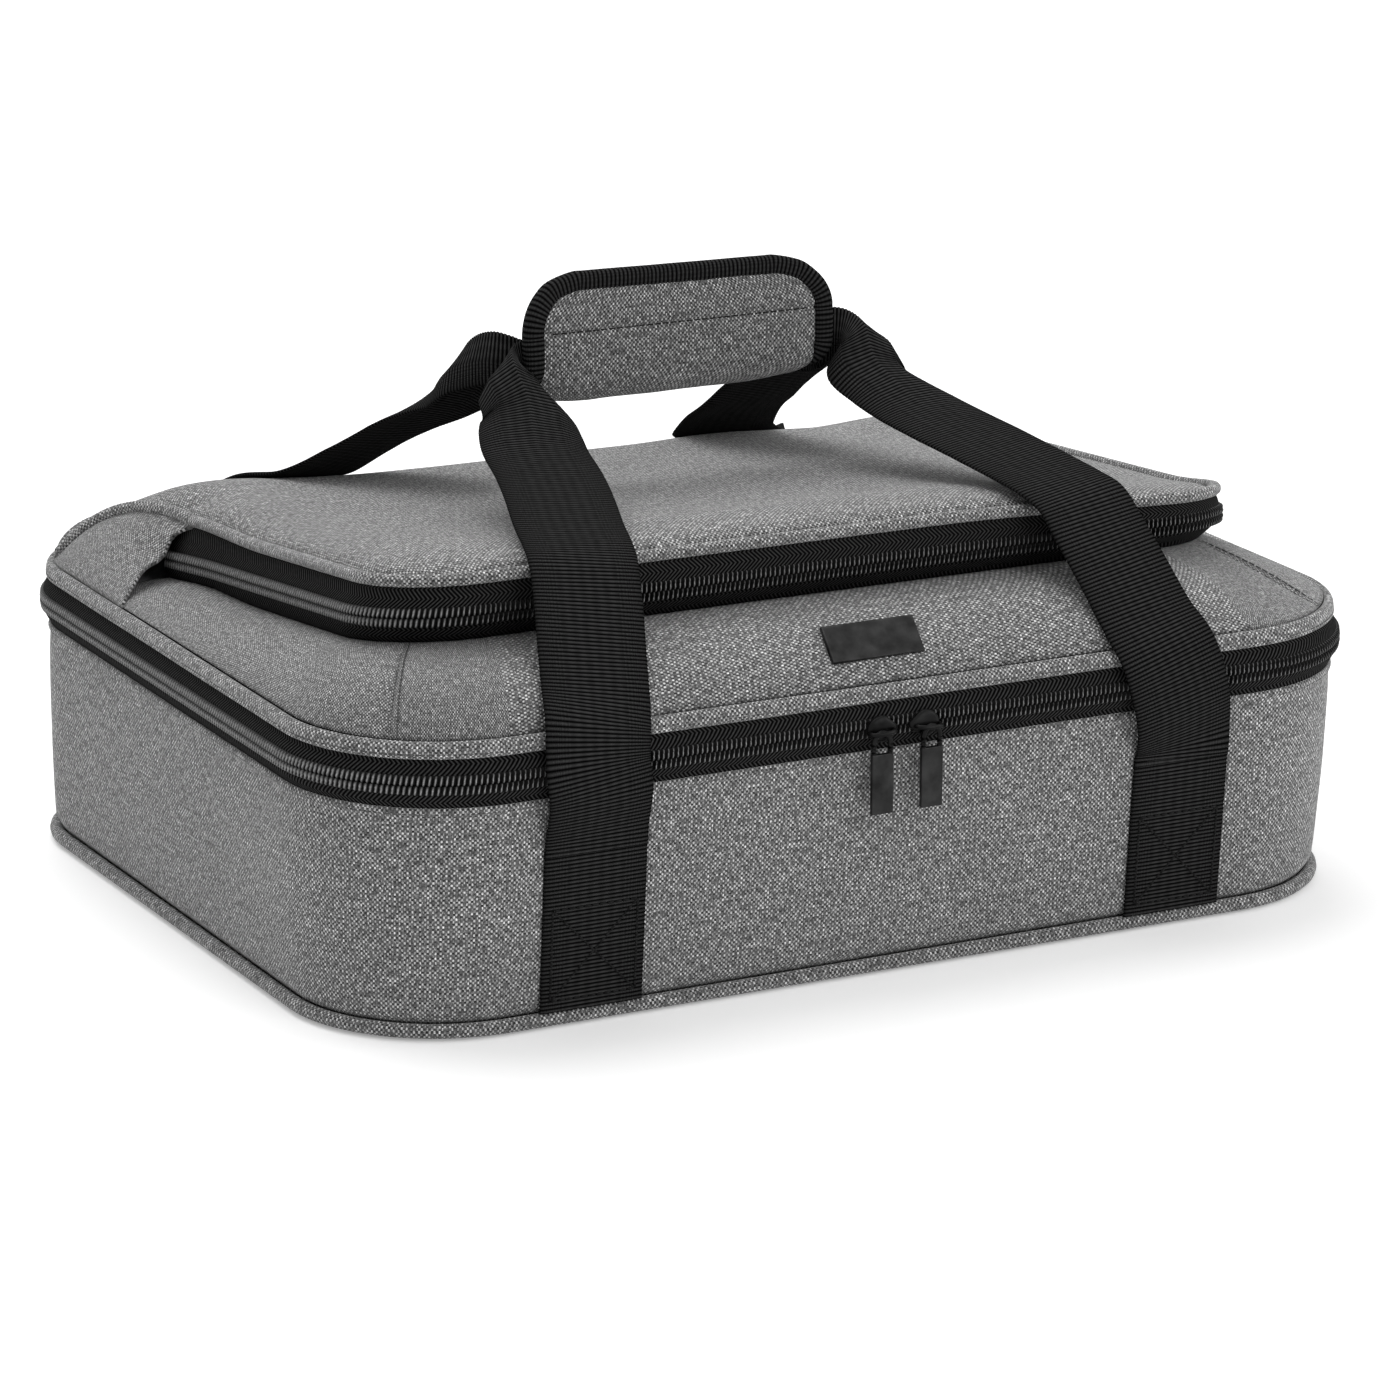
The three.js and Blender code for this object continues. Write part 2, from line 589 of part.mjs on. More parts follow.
// Gussets: the side pieces between the piping, the rim and the end of the pocket's zip.
const GUSSET_END_DEG = PIPING_LANDING_DEG - 5;
const gussetFoot = (() => {
  const corner = outline(skirtSize, [360, 360 + GUSSET_END_DEG]);
  const route = [{ ...corner[0], y: SKIRT_FOOT_REAR + 1 }, ...corner];
  const path = new THREE.CurvePath();
  route.slice(1).forEach((p, i) => path.add(new THREE.LineCurve3(point(route[i], 0), point(p, 0))));
  return path.getSpacedPoints(PIPING_STEPS - 1).map((p) => shifted(p, 0, 0, RIM_TOP + SEAM_GAP));
})();
const gussetHead = sidePipingPoints
  .map((p, i) => p.clone().addScaledVector(acrossAt(sidePipingPoints, i).up, -pipingLift - SEAM_GAP))
  .slice(0, -1);
const gussetIn = (points) => points.map((p) => shifted(p, -1.6 * FABRIC, 0, 0));
for (const [side, turn] of Object.entries({ left: mirrored, right: (points) => points })) {
  addPiece(
    `lid_${side}_gusset`,
    strip(turn(gussetFoot), turn(gussetHead), turn(gussetIn(gussetFoot)), turn(gussetIn(gussetHead))),
    greyCloth,
  );
  addPiece(`lid_${side}_piping`, tubeAlong(turn(sidePipingPoints), COVER_PIPING_RADIUS), greyCloth);
}

// Top panel: the pocket's cover in front of the fold, the lid's rear panel behind it. Across each row the
// cloth rises from its edge over a round shoulder.
const panelInset = COVER_PIPING_RADIUS + SEAM_GAP;
const coverSize = {
  halfX: pocketEdge.halfX - panelInset,
  front: pocketEdge.front - panelInset,
  radius: pocketEdge.radius - panelInset,
};
const shoulder = (distance) => {
  const part = THREE.MathUtils.clamp(distance / CROWN_SHOULDER, 0, 1);
  return Math.sqrt(1 - (1 - part) ** 2);
};
const PANEL_COLUMNS = [-1, -0.97, -0.91, -0.81, -0.5, 0, 0.5, 0.81, 0.91, 0.97, 1];
const coverRows = (by) => {
  const size = {
    halfX: coverSize.halfX - by,
    front: coverSize.front - by,
    radius: coverSize.radius - by,
  };
  const corner = outline({ ...size, rear: FOLD_Y }, [270, 360]).map((p) => ({ half: p.x, y: p.y }));
  const side = [0.33, 0.66, 1].map((part) => ({
    half: size.halfX,
    y: THREE.MathUtils.lerp(size.radius - size.front, FOLD_Y - SEAM_GAP, part),
  }));
  return [...corner, ...side];
};
function coverGrid(by, drop) {
  return coverRows(by).map(({ half, y }) =>
    PANEL_COLUMNS.map((column) => {
      const x = column * half;
      const rise = Math.min(shoulder(y + coverSize.front - by), shoulder((1 - Math.abs(column)) * half));
      return new THREE.Vector3(x, y, edgeLevel(x, y) + pipingLift + CROWN * rise - drop);
    }),
  );
}
const sheet = (upper, lower) => loft(upper.map((row, i) => [...row, ...[...lower[i]].reverse()]));

addPiece("pocket_cover_panel", sheet(coverGrid(0, 0), coverGrid(0, FABRIC)), greyCloth);
const foamDrop = FABRIC + SEAM_GAP;
const liningDrop = foamDrop + COVER_FOAM + SEAM_GAP;
addPiece(
  "pocket_cover_foam",
  sheet(coverGrid(foamDrop, foamDrop), coverGrid(foamDrop, foamDrop + COVER_FOAM)),
  whiteFoam,
);
addPiece(
  "pocket_cover_lining",
  sheet(coverGrid(foamDrop, liningDrop), coverGrid(foamDrop, liningDrop + LINING)),
  silverLining,
);
addPiece(
  "pocket_upper_zip_tape",
  strip(tapeAbove(0), tapeEdge(0), tapeAbove(-ZIP_TAPE), tapeEdge(-ZIP_TAPE)),
  zipTape,
);
addPiece("pocket_upper_zip_coil", coilStrip(SEAM_GAP, COIL_HALF), zipCoil);
addPiece(
  "pocket_cover_piping",
  tubeAlong(lineAt(edgeLine, (x, y) => edgeLevel(x, y) + pipingLift), COVER_PIPING_RADIUS),
  greyCloth,
);

// Rear panel: from the fold it follows the piping at its sides, then the rim round the rear corners.
const rearCorner = outline(skirtSize, [360 + PIPING_LANDING_DEG, 450]);
const foldHeight = edgeLevel(0, FOLD_Y) + pipingLift + CROWN;
const rearReach = skirtSize.rear;
const rearFoot = RIM_TOP + FABRIC + SEAM_GAP;
const besidePiping = sidePipingPoints.map((p, i) => {
  const beside = p.clone().addScaledVector(acrossAt(sidePipingPoints, i).side, panelInset + SEAM_GAP);
  return { half: beside.x, y: beside.y, edge: Math.max(beside.z, rearFoot) };
});
const behindFold = besidePiping.filter((row) => row.y > FOLD_Y + 1);
const rearRows = [
  { ...behindFold[0], half: besidePiping[0].half, y: FOLD_Y + SEAM_GAP },
  ...behindFold,
  ...rearCorner
    .filter((p) => p.y > behindFold.at(-1).y + 1)
    .map((p) => ({ half: p.x, y: p.y, edge: rearFoot })),
];
const rearProfile = (y) => {
  const part = THREE.MathUtils.clamp((y - FOLD_Y) / (rearReach - FOLD_Y), 0, 1);
  return rearFoot + (foldHeight - rearFoot) * (1 - part ** REAR_FALL_POWER);
};
const rearGrid = (drop) =>
  rearRows.map(({ half, y, edge }) =>
    PANEL_COLUMNS.map((column) => {
      const x = column * half;
      const rise = Math.max(rearProfile(y) - edge, 0) * shoulder((1 - Math.abs(column)) * half);
      return new THREE.Vector3(x, y, edge + rise - drop);
    }),
  );
addPiece("lid_rear_panel", sheet(rearGrid(0), rearGrid(FABRIC)), greyCloth);

// Badge: a bare plate on the lower half of the front skirt.
const badgePlace = Math.floor(lastPlace / 2);
const badgeSlope = skirtMiddle[badgePlace].clone().sub(skirtFoot[badgePlace]).normalize();
const badge = addPiece("badge_plate", new THREE.BoxGeometry(BADGE_LENGTH, BADGE_HEIGHT, BADGE), darkMetal);
const badgeOut = new THREE.Vector3(1, 0, 0).cross(badgeSlope);
badge.position
  .copy(skirtFoot[badgePlace])
  .lerp(skirtMiddle[badgePlace], BADGE_CLIMB)
  .addScaledVector(badgeOut, BADGE / 2 + SEAM_GAP)
  .setX(BADGE_SHIFT);
badge.rotation.x = Math.atan2(badgeSlope.z, badgeSlope.y);

// Webbing: a ribbon along a route. At each stop "lean" turns its face from the wall towards straight up, "fold"
// turns its two edges down about its middle, both in degrees, and "crease" is the part of the width that bends.
// A fold that is all the way shut hangs straight down.
const ACROSS = [-1, -0.45, -0.16, 0, 0.16, 0.45, 1];
const SHUT_FOLD = 180;
const stop = (x, y, z, lean, fold = 0, crease = 1) => ({ at: new THREE.Vector3(x, y, z), lean, fold, crease });

// Places across a folded width: how far sideways and down each is, and how far the cloth has turned there.
function acrossFold(fold, crease) {
  const half = THREE.MathUtils.degToRad(Math.max(fold, 1)) / 2;
  const reach = WEBBING_WIDTH / 2;
  return ACROSS.map((place) => {
    const bent = Math.min(Math.abs(place), crease);
    const straight = Math.abs(place) - bent;
    const turn = (half * bent) / crease;
    const sideways = (crease / half) * Math.sin(turn) + straight * Math.cos(turn);
    const down = (crease / half) * (1 - Math.cos(turn)) + straight * Math.sin(turn);
    return { sideways: Math.sign(place) * sideways * reach, down: down * reach, turn: Math.sign(place) * turn };
  });
}

function ribbonSection(centre, along, normal, fold, crease) {
  const across = along.clone().cross(normal).normalize();
  const places = acrossFold(fold, crease).map(({ sideways, down, turn }) => {
    const face = normal.clone().multiplyScalar(Math.cos(turn)).addScaledVector(across, Math.sin(turn));
    const middle = centre.clone().addScaledVector(across, sideways).addScaledVector(normal, -down);
    return { middle, face: face.multiplyScalar(WEBBING / 2) };
  });
  const upper = places.map(({ middle, face }) => middle.clone().add(face));
  const lower = places.map(({ middle, face }) => middle.clone().sub(face));
  return [...upper, ...lower.reverse()];
}

function ribbon(route, face, steps) {
  const curve = new THREE.CatmullRomCurve3(route.map((stop) => stop.at), false, "centripetal");
  return Array.from({ length: steps + 1 }, (_, step) => {
    const place = (step / steps) * (route.length - 1);
    const low = Math.min(Math.floor(place), route.length - 2);
    const mix = (key) => THREE.MathUtils.lerp(route[low][key], route[low + 1][key], place - low);
    const lean = THREE.MathUtils.degToRad(mix("lean"));
    const along = curve.getTangent(step / steps);
    const normal = new THREE.Vector3(0, face * Math.cos(lean), Math.sin(lean));
    normal.addScaledVector(along, -normal.dot(along) * (1 - mix("fold") / SHUT_FOLD)).normalize();
    return ribbonSection(curve.getPoint(step / steps), along, normal, mix("fold"), mix("crease"));
  });
}

// Sewn ends lie flat on the front and rear walls.
const wallReach = (face, z) => (face < 0 ? bodyAt(z).front : bodyAt(z).rear);
const sewnOut = SEAM_GAP + WEBBING / 2;
const strapX = STRAP_SPACING / 2;
for (const [end, face] of Object.entries({ front: -1, rear: 1 })) {
  for (const [side, sign] of Object.entries({ left: -1, right: 1 })) {
    const low = stop(sign * strapX, face * (wallReach(face, STRAP_FOOT) + sewnOut), STRAP_FOOT, 0);
    const high = stop(sign * strapX, face * (wallReach(face, STRAP_SEWN_TOP) + sewnOut), STRAP_SEWN_TOP, 0);
    addPiece(`${end}_${side}_strap_anchor`, loft(ribbon([low, high], face, 1)), blackWebbing);
  }
}

// The free part of each strap: up past the zip and over the lid, then folded in half along its middle where it
// turns into the grip. Stops are for the right side. "Part" counts from the sewn end's x to the grip's end.
const zipPass = CHAIN_OUT + STRAP_CLEAR + WEBBING / 2;
const clear = STRAP_CLEAR + WEBBING / 2;
const gripHalf = GRIP_LENGTH / 2;
const webY = (face) => GRIP_Y + face * (SEAM_GAP + FOLDED_HALF);
const RUN_OVERLAP = 6;
const SHUT_CREASE = (CREASE_RADIUS * Math.PI) / WEBBING_WIDTH;
const x = (part, slip) => THREE.MathUtils.lerp(strapX, gripHalf, part) + slip;

function lowerStops(face, slip) {
  const reach = HALF_DEPTH + zipPass;
  const sewn = wallReach(face, STRAP_SEWN_TOP) + sewnOut;
  return [
    stop(x(0, 0), face * sewn, STRAP_SEWN_TOP + SEAM_GAP, 0),
    stop(x(0, 0), face * (sewn + STRAP_CLEAR), STRAP_SEWN_TOP + 5, 0),
    stop(x(0.02, 0.35 * slip), face * reach, MAIN_ZIP_LEVEL - ZIP_TAPE_SHOWN, 0),
    stop(x(0.04, 0.8 * slip), face * reach, MAIN_ZIP_LEVEL + COIL_HALF, 4),
    stop(x(0.08, slip), face * (HALF_DEPTH + RIM_SWELL + 1.6 * clear), RIM_TOP, 20),
  ];
}

function frontStops(slip) {
  const edgeTop = CHAIN_FRONT + POCKET_EDGE_RISE + 2 * pipingLift;
  const rise = GRIP_RISE - edgeTop;
  const reach = pocketEdge.front - clear;
  const over = (partX, partY, partZ, lean, fold, crease) =>
    stop(x(partX, slip), -reach * (1 - partY), edgeTop + rise * partZ, lean, fold, crease);
  return [
    stop(x(0.14, slip), 5 - HALF_DEPTH, RIM_TOP + 10, 45),
    stop(x(0.2, slip), 14.5 - HALF_DEPTH, RIM_TOP + 22.5, 48),
    stop(x(0.28, slip), 26.5 - HALF_DEPTH, RIM_TOP + 38, 52),
    stop(x(0.33, slip), -pocketEdge.front - 8, edgeTop, 62),
    over(0.38, 0, 0.08, 78),
    over(0.45, 0.13, 0.15, 78),
    over(0.56, 0.3, 0.24, 78),
    over(0.66, 0.47, 0.33, 78, 6),
    over(0.74, 0.64, 0.44, 78, 32),
    over(0.8, 0.73, 0.55, 80, 75, 0.9),
    over(0.81, 0.82, 0.7, 84, 135, 0.45),
  ];
}

function rearStops(sign) {
  const overPanel = (along, part, slip, lean) => {
    const y = THREE.MathUtils.lerp(FOLD_Y, rearReach, along);
    const slope = rearProfile(y + 1) - rearProfile(y);
    const outward = new THREE.Vector2(-slope, 1).setLength(2.4 * clear);
    return stop(x(part, sign * slip * REAR_SLIP), y + outward.x, rearProfile(y) + outward.y, lean);
  };
  const rise = GRIP_RISE - foldHeight;
  const over = (partX, slip, partY, partZ, lean, fold, crease) =>
    stop(x(partX, sign * slip * REAR_SLIP), FOLD_Y * partY, foldHeight + rise * partZ, lean, fold, crease);
  // The right strap runs flat and straight to the wrap; the left one folds early and arches into it.
  if (sign > 0) {
    return [
      overPanel(0.93, 0.22, 0.45, 52),
      overPanel(0.7, 0.36, 0.5, 64),
      overPanel(0.42, 0.5, 0.5, 66),
      overPanel(0.15, 0.64, 0.46, 68),
      over(0.8, 0.4, 0.92, 0.17, 64),
      over(0.86, 0.36, 0.74, 0.29, 62),
      over(0.92, 0.3, 0.6, 0.42, 62),
      over(0.95, 0.25, 0.46, 0.56, 66, 20),
      over(0.9, 0.2, 0.35, 0.7, 74, 75, 0.9),
    ];
  }
  return [
    overPanel(0.93, 0.22, 0.55, 52),
    overPanel(0.7, 0.36, 0.75, 64),
    overPanel(0.42, 0.5, 0.92, 66),
    overPanel(0.15, 0.64, 1, 68),
    over(0.82, 0.98, 0.92, 0.21, 64),
    over(0.94, 0.85, 0.74, 0.38, 62, 8),
    over(1, 0.7, 0.6, 0.52, 62, 40),
    over(0.93, 0.36, 0.46, 0.7, 70, 100, 0.75),
    over(0.84, 0.22, 0.34, 0.92, 78, 155, 0.35),
  ];
}

function gripStops(face, gripEnd, hump) {
  return [
    stop(gripEnd + 8.5, webY(face) + face * 11.5, GRIP_RISE - 8.5 + 1.2 * hump, 86, 174, 1.5 * SHUT_CREASE),
    stop(gripEnd + 5.5, webY(face) + face * 4, GRIP_RISE - 3 + 0.75 * hump, 90, SHUT_FOLD, SHUT_CREASE),
    stop(gripEnd + 1, webY(face) + face * SEAM_GAP, GRIP_RISE - SEAM_GAP + 0.25 * hump, 90, SHUT_FOLD, SHUT_CREASE),
    stop(gripEnd - RUN_OVERLAP / 2, webY(face), GRIP_RISE, 90, SHUT_FOLD, SHUT_CREASE),
    stop(gripEnd - RUN_OVERLAP, webY(face), GRIP_RISE, 90, SHUT_FOLD, SHUT_CREASE),
  ];
}

for (const [end, face] of Object.entries({ front: -1, rear: 1 })) {
  for (const [side, sign] of Object.entries({ left: -1, right: 1 })) {
    const slip = sign * GRIP_SHIFT;
    const middle = face < 0 ? frontStops(slip) : rearStops(sign);
    const lower = lowerStops(face, face < 0 ? slip : 2 * slip);
    const hump = face > 0 && sign < 0 ? REAR_HUMP : 0;
    const route = [...lower, ...middle, ...gripStops(face, gripHalf + slip, hump)];
    const sections = ribbon(route, face, RISER_STEPS);
    addPiece(`${end}_${side}_riser`, loft(sign < 0 ? sections.map(mirrored) : sections), blackWebbing);
  }
  const runHalf = gripHalf - RUN_OVERLAP - 2 * SEAM_GAP;
  const runEnds = [-runHalf, runHalf].map((reach) => new THREE.Vector3(GRIP_SHIFT + reach, webY(face), GRIP_RISE));
  const [alongX, upZ] = [new THREE.Vector3(1, 0, 0), new THREE.Vector3(0, 0, 1)];
  const run = runEnds.map((centre) => ribbonSection(centre, alongX, upZ, SHUT_FOLD, SHUT_CREASE));
  addPiece(`${end}_grip_run`, loft(run), blackWebbing);
}

// Grip wrap: a pad folded under both straps, bound round its edge, closed by hook and loop tape at the top.
const padHalf = gripHalf - WRAP_BINDING - SEAM_GAP;
const padHead = WRAP_HEAD - WRAP_BINDING - SEAM_GAP;
const padCorner = WRAP_CORNER - WRAP_BINDING - SEAM_GAP;
const wrapOut = WRAP_INSIDE + WRAP_PAD;

// A pad's face as seen from the front, with round upper corners.
function padShape(half, foot, head, corner) {
  const shape = new THREE.Shape();
  shape.moveTo(-half, foot);
  shape.lineTo(half, foot);
  shape.lineTo(half, head - corner);
  shape.absarc(half - corner, head - corner, corner, 0, Math.PI / 2);
  shape.lineTo(corner - half, head);
  shape.absarc(corner - half, head - corner, corner, Math.PI / 2, Math.PI);
  return shape;
}
function upright(shape, nearY, farY) {
  const geometry = new THREE.ExtrudeGeometry(shape, {
    depth: farY - nearY,
    bevelEnabled: false,
    curveSegments: CORNER_STEPS,
  });
  return geometry.rotateX(Math.PI / 2).translate(GRIP_SHIFT, farY, 0);
}
const foldFoot = new THREE.Shape([
  new THREE.Vector2(-wrapOut, WRAP_FOOT + WRAP_FOLD),
  new THREE.Vector2(WRAP_FOLD - wrapOut, WRAP_FOOT),
  new THREE.Vector2(wrapOut - WRAP_FOLD, WRAP_FOOT),
  new THREE.Vector2(wrapOut, WRAP_FOOT + WRAP_FOLD),
  new THREE.Vector2(-WRAP_INSIDE, WRAP_FOOT + WRAP_FOLD),
  new THREE.Vector2(-WRAP_INSIDE, padHead),
  new THREE.Vector2(-wrapOut, padHead),
]);
const foldAlong = new THREE.ExtrudeGeometry(foldFoot, { depth: 2 * padHalf, bevelEnabled: false });
foldAlong.applyMatrix4(
  new THREE.Matrix4().makeBasis(
    new THREE.Vector3(0, 1, 0),
    new THREE.Vector3(0, 0, 1),
    new THREE.Vector3(1, 0, 0),
  ),
);
foldAlong.translate(GRIP_SHIFT - padHalf, GRIP_Y, 0);
const padBlock = upright(padShape(padHalf, WRAP_FOOT, padHead, padCorner), GRIP_Y - 2 * wrapOut, GRIP_Y + 2 * wrapOut);
addPiece("wrap_front_pad", geometryOf(solidOf(foldAlong).intersect(solidOf(padBlock))), greyCloth);

const rearPadFoot = GRIP_FOOT + SEAM_GAP;
addPiece(
  "wrap_rear_pad",
  upright(
    padShape(padHalf - FLAP_INSET, rearPadFoot, padHead - FLAP_DROP, padCorner),
    GRIP_Y + WRAP_INSIDE,
    GRIP_Y + wrapOut,
  ),
  greyCloth,
);

// The binding runs up one end, along the top and down the other end.
function wrapBinding(half, head, nearY, farY) {
  const size = { halfX: half, front: 0, rear: head, radius: WRAP_CORNER };
  const turn = outline(size, [360, 540]);
  const ends = [{ ...turn[0], y: rearPadFoot }, ...turn, { ...turn.at(-1), y: rearPadFoot }];
  const at = (p, out, y) => new THREE.Vector3(GRIP_SHIFT + p.x - p.nx * out, y, p.y - p.ny * out);
  return loft(
    ends.map((p) => [at(p, 0, nearY), at(p, 0, farY), at(p, WRAP_BINDING, farY), at(p, WRAP_BINDING, nearY)]),
  );
}
const bindingReach = wrapOut + SEAM_GAP;
addPiece(
  "wrap_front_binding",
  wrapBinding(gripHalf, WRAP_HEAD, GRIP_Y - bindingReach, GRIP_Y - WRAP_INSIDE),
  blackWebbing,
);
addPiece(
  "wrap_rear_binding",
  wrapBinding(gripHalf - FLAP_INSET, WRAP_HEAD - FLAP_DROP, GRIP_Y + WRAP_INSIDE, GRIP_Y + bindingReach),
  blackWebbing,
);
const closureThick = WRAP_INSIDE - 2 * SEAM_GAP;
for (const [name, face] of Object.entries({ wrap_loop_strip: -1, wrap_hook_strip: 1 })) {
  const closure = new THREE.BoxGeometry(CLOSURE_LENGTH, closureThick, CLOSURE_HEIGHT);
  addPiece(name, closure, blackWebbing).position.set(
    GRIP_SHIFT,
    GRIP_Y + face * (SEAM_GAP + closureThick / 2),
    padHead - FLAP_DROP - CLOSURE_HEIGHT / 2,
  );
}

// Zip sliders. A slider is built with its plate facing -Y and the chain's face at y = 0.
function sliderGeometry() {
  const faceOut = SEAM_GAP + SLIDER_PLATE;
  const body = new THREE.BoxGeometry(SLIDER_WIDTH, SLIDER_PLATE, 2 * SLIDER_HALF_HEIGHT);
  body.translate(0, -(SEAM_GAP + SLIDER_PLATE / 2), 0);
  const bailOut = BAIL_GAP + BAIL_BAR;
  const bailHalf = BAIL_GAP + BAIL_BAR;
  const side = new THREE.Shape([
    new THREE.Vector2(-SLIDER_PLATE / 2, -bailHalf),
    new THREE.Vector2(bailOut - BAIL_BAR, -bailHalf),
    new THREE.Vector2(bailOut, -BAIL_GAP),
    new THREE.Vector2(bailOut, BAIL_GAP),
    new THREE.Vector2(bailOut - BAIL_BAR, bailHalf),
    new THREE.Vector2(-SLIDER_PLATE / 2, bailHalf),
  ]);
  side.holes.push(
    new THREE.Path([
      new THREE.Vector2(0, -BAIL_GAP),
      new THREE.Vector2(BAIL_GAP, -BAIL_GAP),
      new THREE.Vector2(BAIL_GAP, BAIL_GAP),
      new THREE.Vector2(0, BAIL_GAP),
    ]),
  );
  const bail = new THREE.ExtrudeGeometry(side, { depth: BAIL_WIDTH, bevelEnabled: false });
  bail.applyMatrix4(
    new THREE.Matrix4().makeBasis(
      new THREE.Vector3(0, -1, 0),
      new THREE.Vector3(0, 0, 1),
      new THREE.Vector3(-1, 0, 0),
    ),
  );
  bail.translate(BAIL_WIDTH / 2, -faceOut, 0);
  return geometryOf(solidOf(body).add(solidOf(bail)));
}

// A pull hangs on its bar, which lies in the bail. Its origin is the bar's middle.
const pullBarOut = SEAM_GAP + SLIDER_PLATE + BAIL_GAP / 2;
const pullBarDrop = BAIL_GAP - PULL_BAR / 2 - SEAM_GAP - 0.1;
function pullGeometry() {
  const top = PULL_BAR / 2;
  const slotFoot = -PULL_BAR / 2 - PULL_SLOT;
  const foot = slotFoot - PULL_LENGTH;
  const neck = PULL_NECK / 2;
  const half = PULL_WIDTH / 2;
  const shape = new THREE.Shape([
    new THREE.Vector2(-half, foot),
    new THREE.Vector2(half, foot),
    new THREE.Vector2(half, slotFoot - 1),
    new THREE.Vector2(neck, slotFoot + 1),
    new THREE.Vector2(neck, top),
    new THREE.Vector2(-neck, top),
    new THREE.Vector2(-neck, slotFoot + 1),
    new THREE.Vector2(-half, slotFoot - 1),
  ]);
  const slotHalf = BAIL_WIDTH / 2 + 2 * SEAM_GAP;
  shape.holes.push(
    new THREE.Path([
      new THREE.Vector2(-slotHalf, -PULL_BAR / 2),
      new THREE.Vector2(slotHalf, -PULL_BAR / 2),
      new THREE.Vector2(slotHalf, slotFoot),
      new THREE.Vector2(-slotHalf, slotFoot),
    ]),
  );
  const geometry = new THREE.ExtrudeGeometry(shape, { depth: PULL_THICK, bevelEnabled: false });
  return geometry.rotateX(Math.PI / 2).translate(0, PULL_THICK / 2, 0);
}

// One slider and its pull: the group stands on the chain's face, and the pull leans out from hanging straight.
function addSlider(name, place, turnZ, tilt, leanDeg) {
  const holder = new THREE.Group();
  holder.position.copy(place);
  holder.rotation.set(tilt, 0, turnZ, "XYZ");
  carrier.add(holder);
  addPiece(`${name}_slider`, sliderGeometry(), darkMetal, holder);
  const pull = addPiece(`${name}_pull`, pullGeometry(), darkMetal, holder);
  pull.position.set(0, -pullBarOut, -pullBarDrop);
  pull.rotation.x = -THREE.MathUtils.degToRad(leanDeg);
}
for (const [side, sign] of Object.entries({ left: -1, right: 1 })) {
  const place = new THREE.Vector3((sign * SLIDER_SPACING) / 2, -HALF_DEPTH - CHAIN_OUT, MAIN_ZIP_LEVEL);
  addSlider(`main_${side}`, place, 0, 0, 0);
}
const pocketSliderPlace = new THREE.Vector3(
  pocketChain.halfX + POCKET_CHAIN_DEPTH,
  POCKET_SLIDER_Y,
  chainLevel(pocketChain.halfX, POCKET_SLIDER_Y),
);
addSlider("pocket", pocketSliderPlace, Math.PI / 2, 0, POCKET_PULL_LEAN_DEG);

export default carrier;
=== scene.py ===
"""Dresses the casserole carrier: melange cloth, coil zips, ribbed webbing handles and a padded grip wrap.

Sizes are in millimetres in the frame of the part: +Z up, the front towards -Y, the origin on the floor.
"""

import logging
import math
from dataclasses import astuple, dataclass, field, replace
from enum import Enum
from functools import cache
from typing import Callable, ClassVar, Sequence

import bmesh
import bpy
from mathutils import Matrix, Vector, noise


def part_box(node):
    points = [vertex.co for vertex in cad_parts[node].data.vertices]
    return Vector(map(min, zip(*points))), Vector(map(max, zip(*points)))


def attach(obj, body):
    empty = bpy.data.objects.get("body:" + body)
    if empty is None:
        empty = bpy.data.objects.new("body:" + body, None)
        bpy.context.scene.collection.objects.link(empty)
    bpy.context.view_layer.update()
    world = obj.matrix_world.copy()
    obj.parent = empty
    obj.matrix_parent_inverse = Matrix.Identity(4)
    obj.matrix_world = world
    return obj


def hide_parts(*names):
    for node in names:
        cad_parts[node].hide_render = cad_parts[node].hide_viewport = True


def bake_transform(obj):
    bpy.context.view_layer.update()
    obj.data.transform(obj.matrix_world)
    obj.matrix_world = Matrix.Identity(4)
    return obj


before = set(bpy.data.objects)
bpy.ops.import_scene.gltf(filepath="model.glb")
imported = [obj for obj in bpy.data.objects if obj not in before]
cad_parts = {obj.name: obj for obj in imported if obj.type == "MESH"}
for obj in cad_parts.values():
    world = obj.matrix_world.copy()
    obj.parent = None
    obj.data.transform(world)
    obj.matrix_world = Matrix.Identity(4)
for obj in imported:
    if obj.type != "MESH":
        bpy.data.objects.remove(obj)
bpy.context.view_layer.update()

MM = 0.001
LOG = logging.getLogger("carrier")
Place = Callable[[float, float], Vector]
Colour = tuple[float, float, float, float]
Piece = bpy.types.Object
Material = bpy.types.Material
Node = bpy.types.Node
Socket = bpy.types.NodeSocket
Tree = bpy.types.NodeTree
TURN = 2 * math.pi


class Slot(Enum):
    """Material slots of the part's record."""

    CLOTH = "grey_cloth"
    WEBBING = "black_webbing"
    TAPE = "zip_tape"
    COIL = "zip_coil"
    LINING = "silver_lining"
    METAL = "dark_metal"


class Way(Enum):
    """One of two opposite ways."""

    @property
    def word(self) -> str:
        """The way's name as the part's nodes use it."""
        return self.name.lower()


class Side(Way):
    """Left and right as seen from the front."""

    LEFT = -1
    RIGHT = 1


class End(Way):
    """The front and the rear of the carrier."""

    FRONT = -1
    REAR = 1


def mix(low: float, high: float, part: float) -> float:
    """A value between two others."""
    return low + (high - low) * part


def clamp(value: float) -> float:
    """A value kept between 0 and 1."""
    return min(max(value, 0.0), 1.0)


def ease(value: float) -> float:
    """A value between 0 and 1 that starts and ends softly."""
    part = clamp(value)
    return part * part * (3 - 2 * part)


def signed_power(value: float, power: float) -> float:
    """A power that keeps the sign of its value."""
    return math.copysign(abs(value) ** power, value)


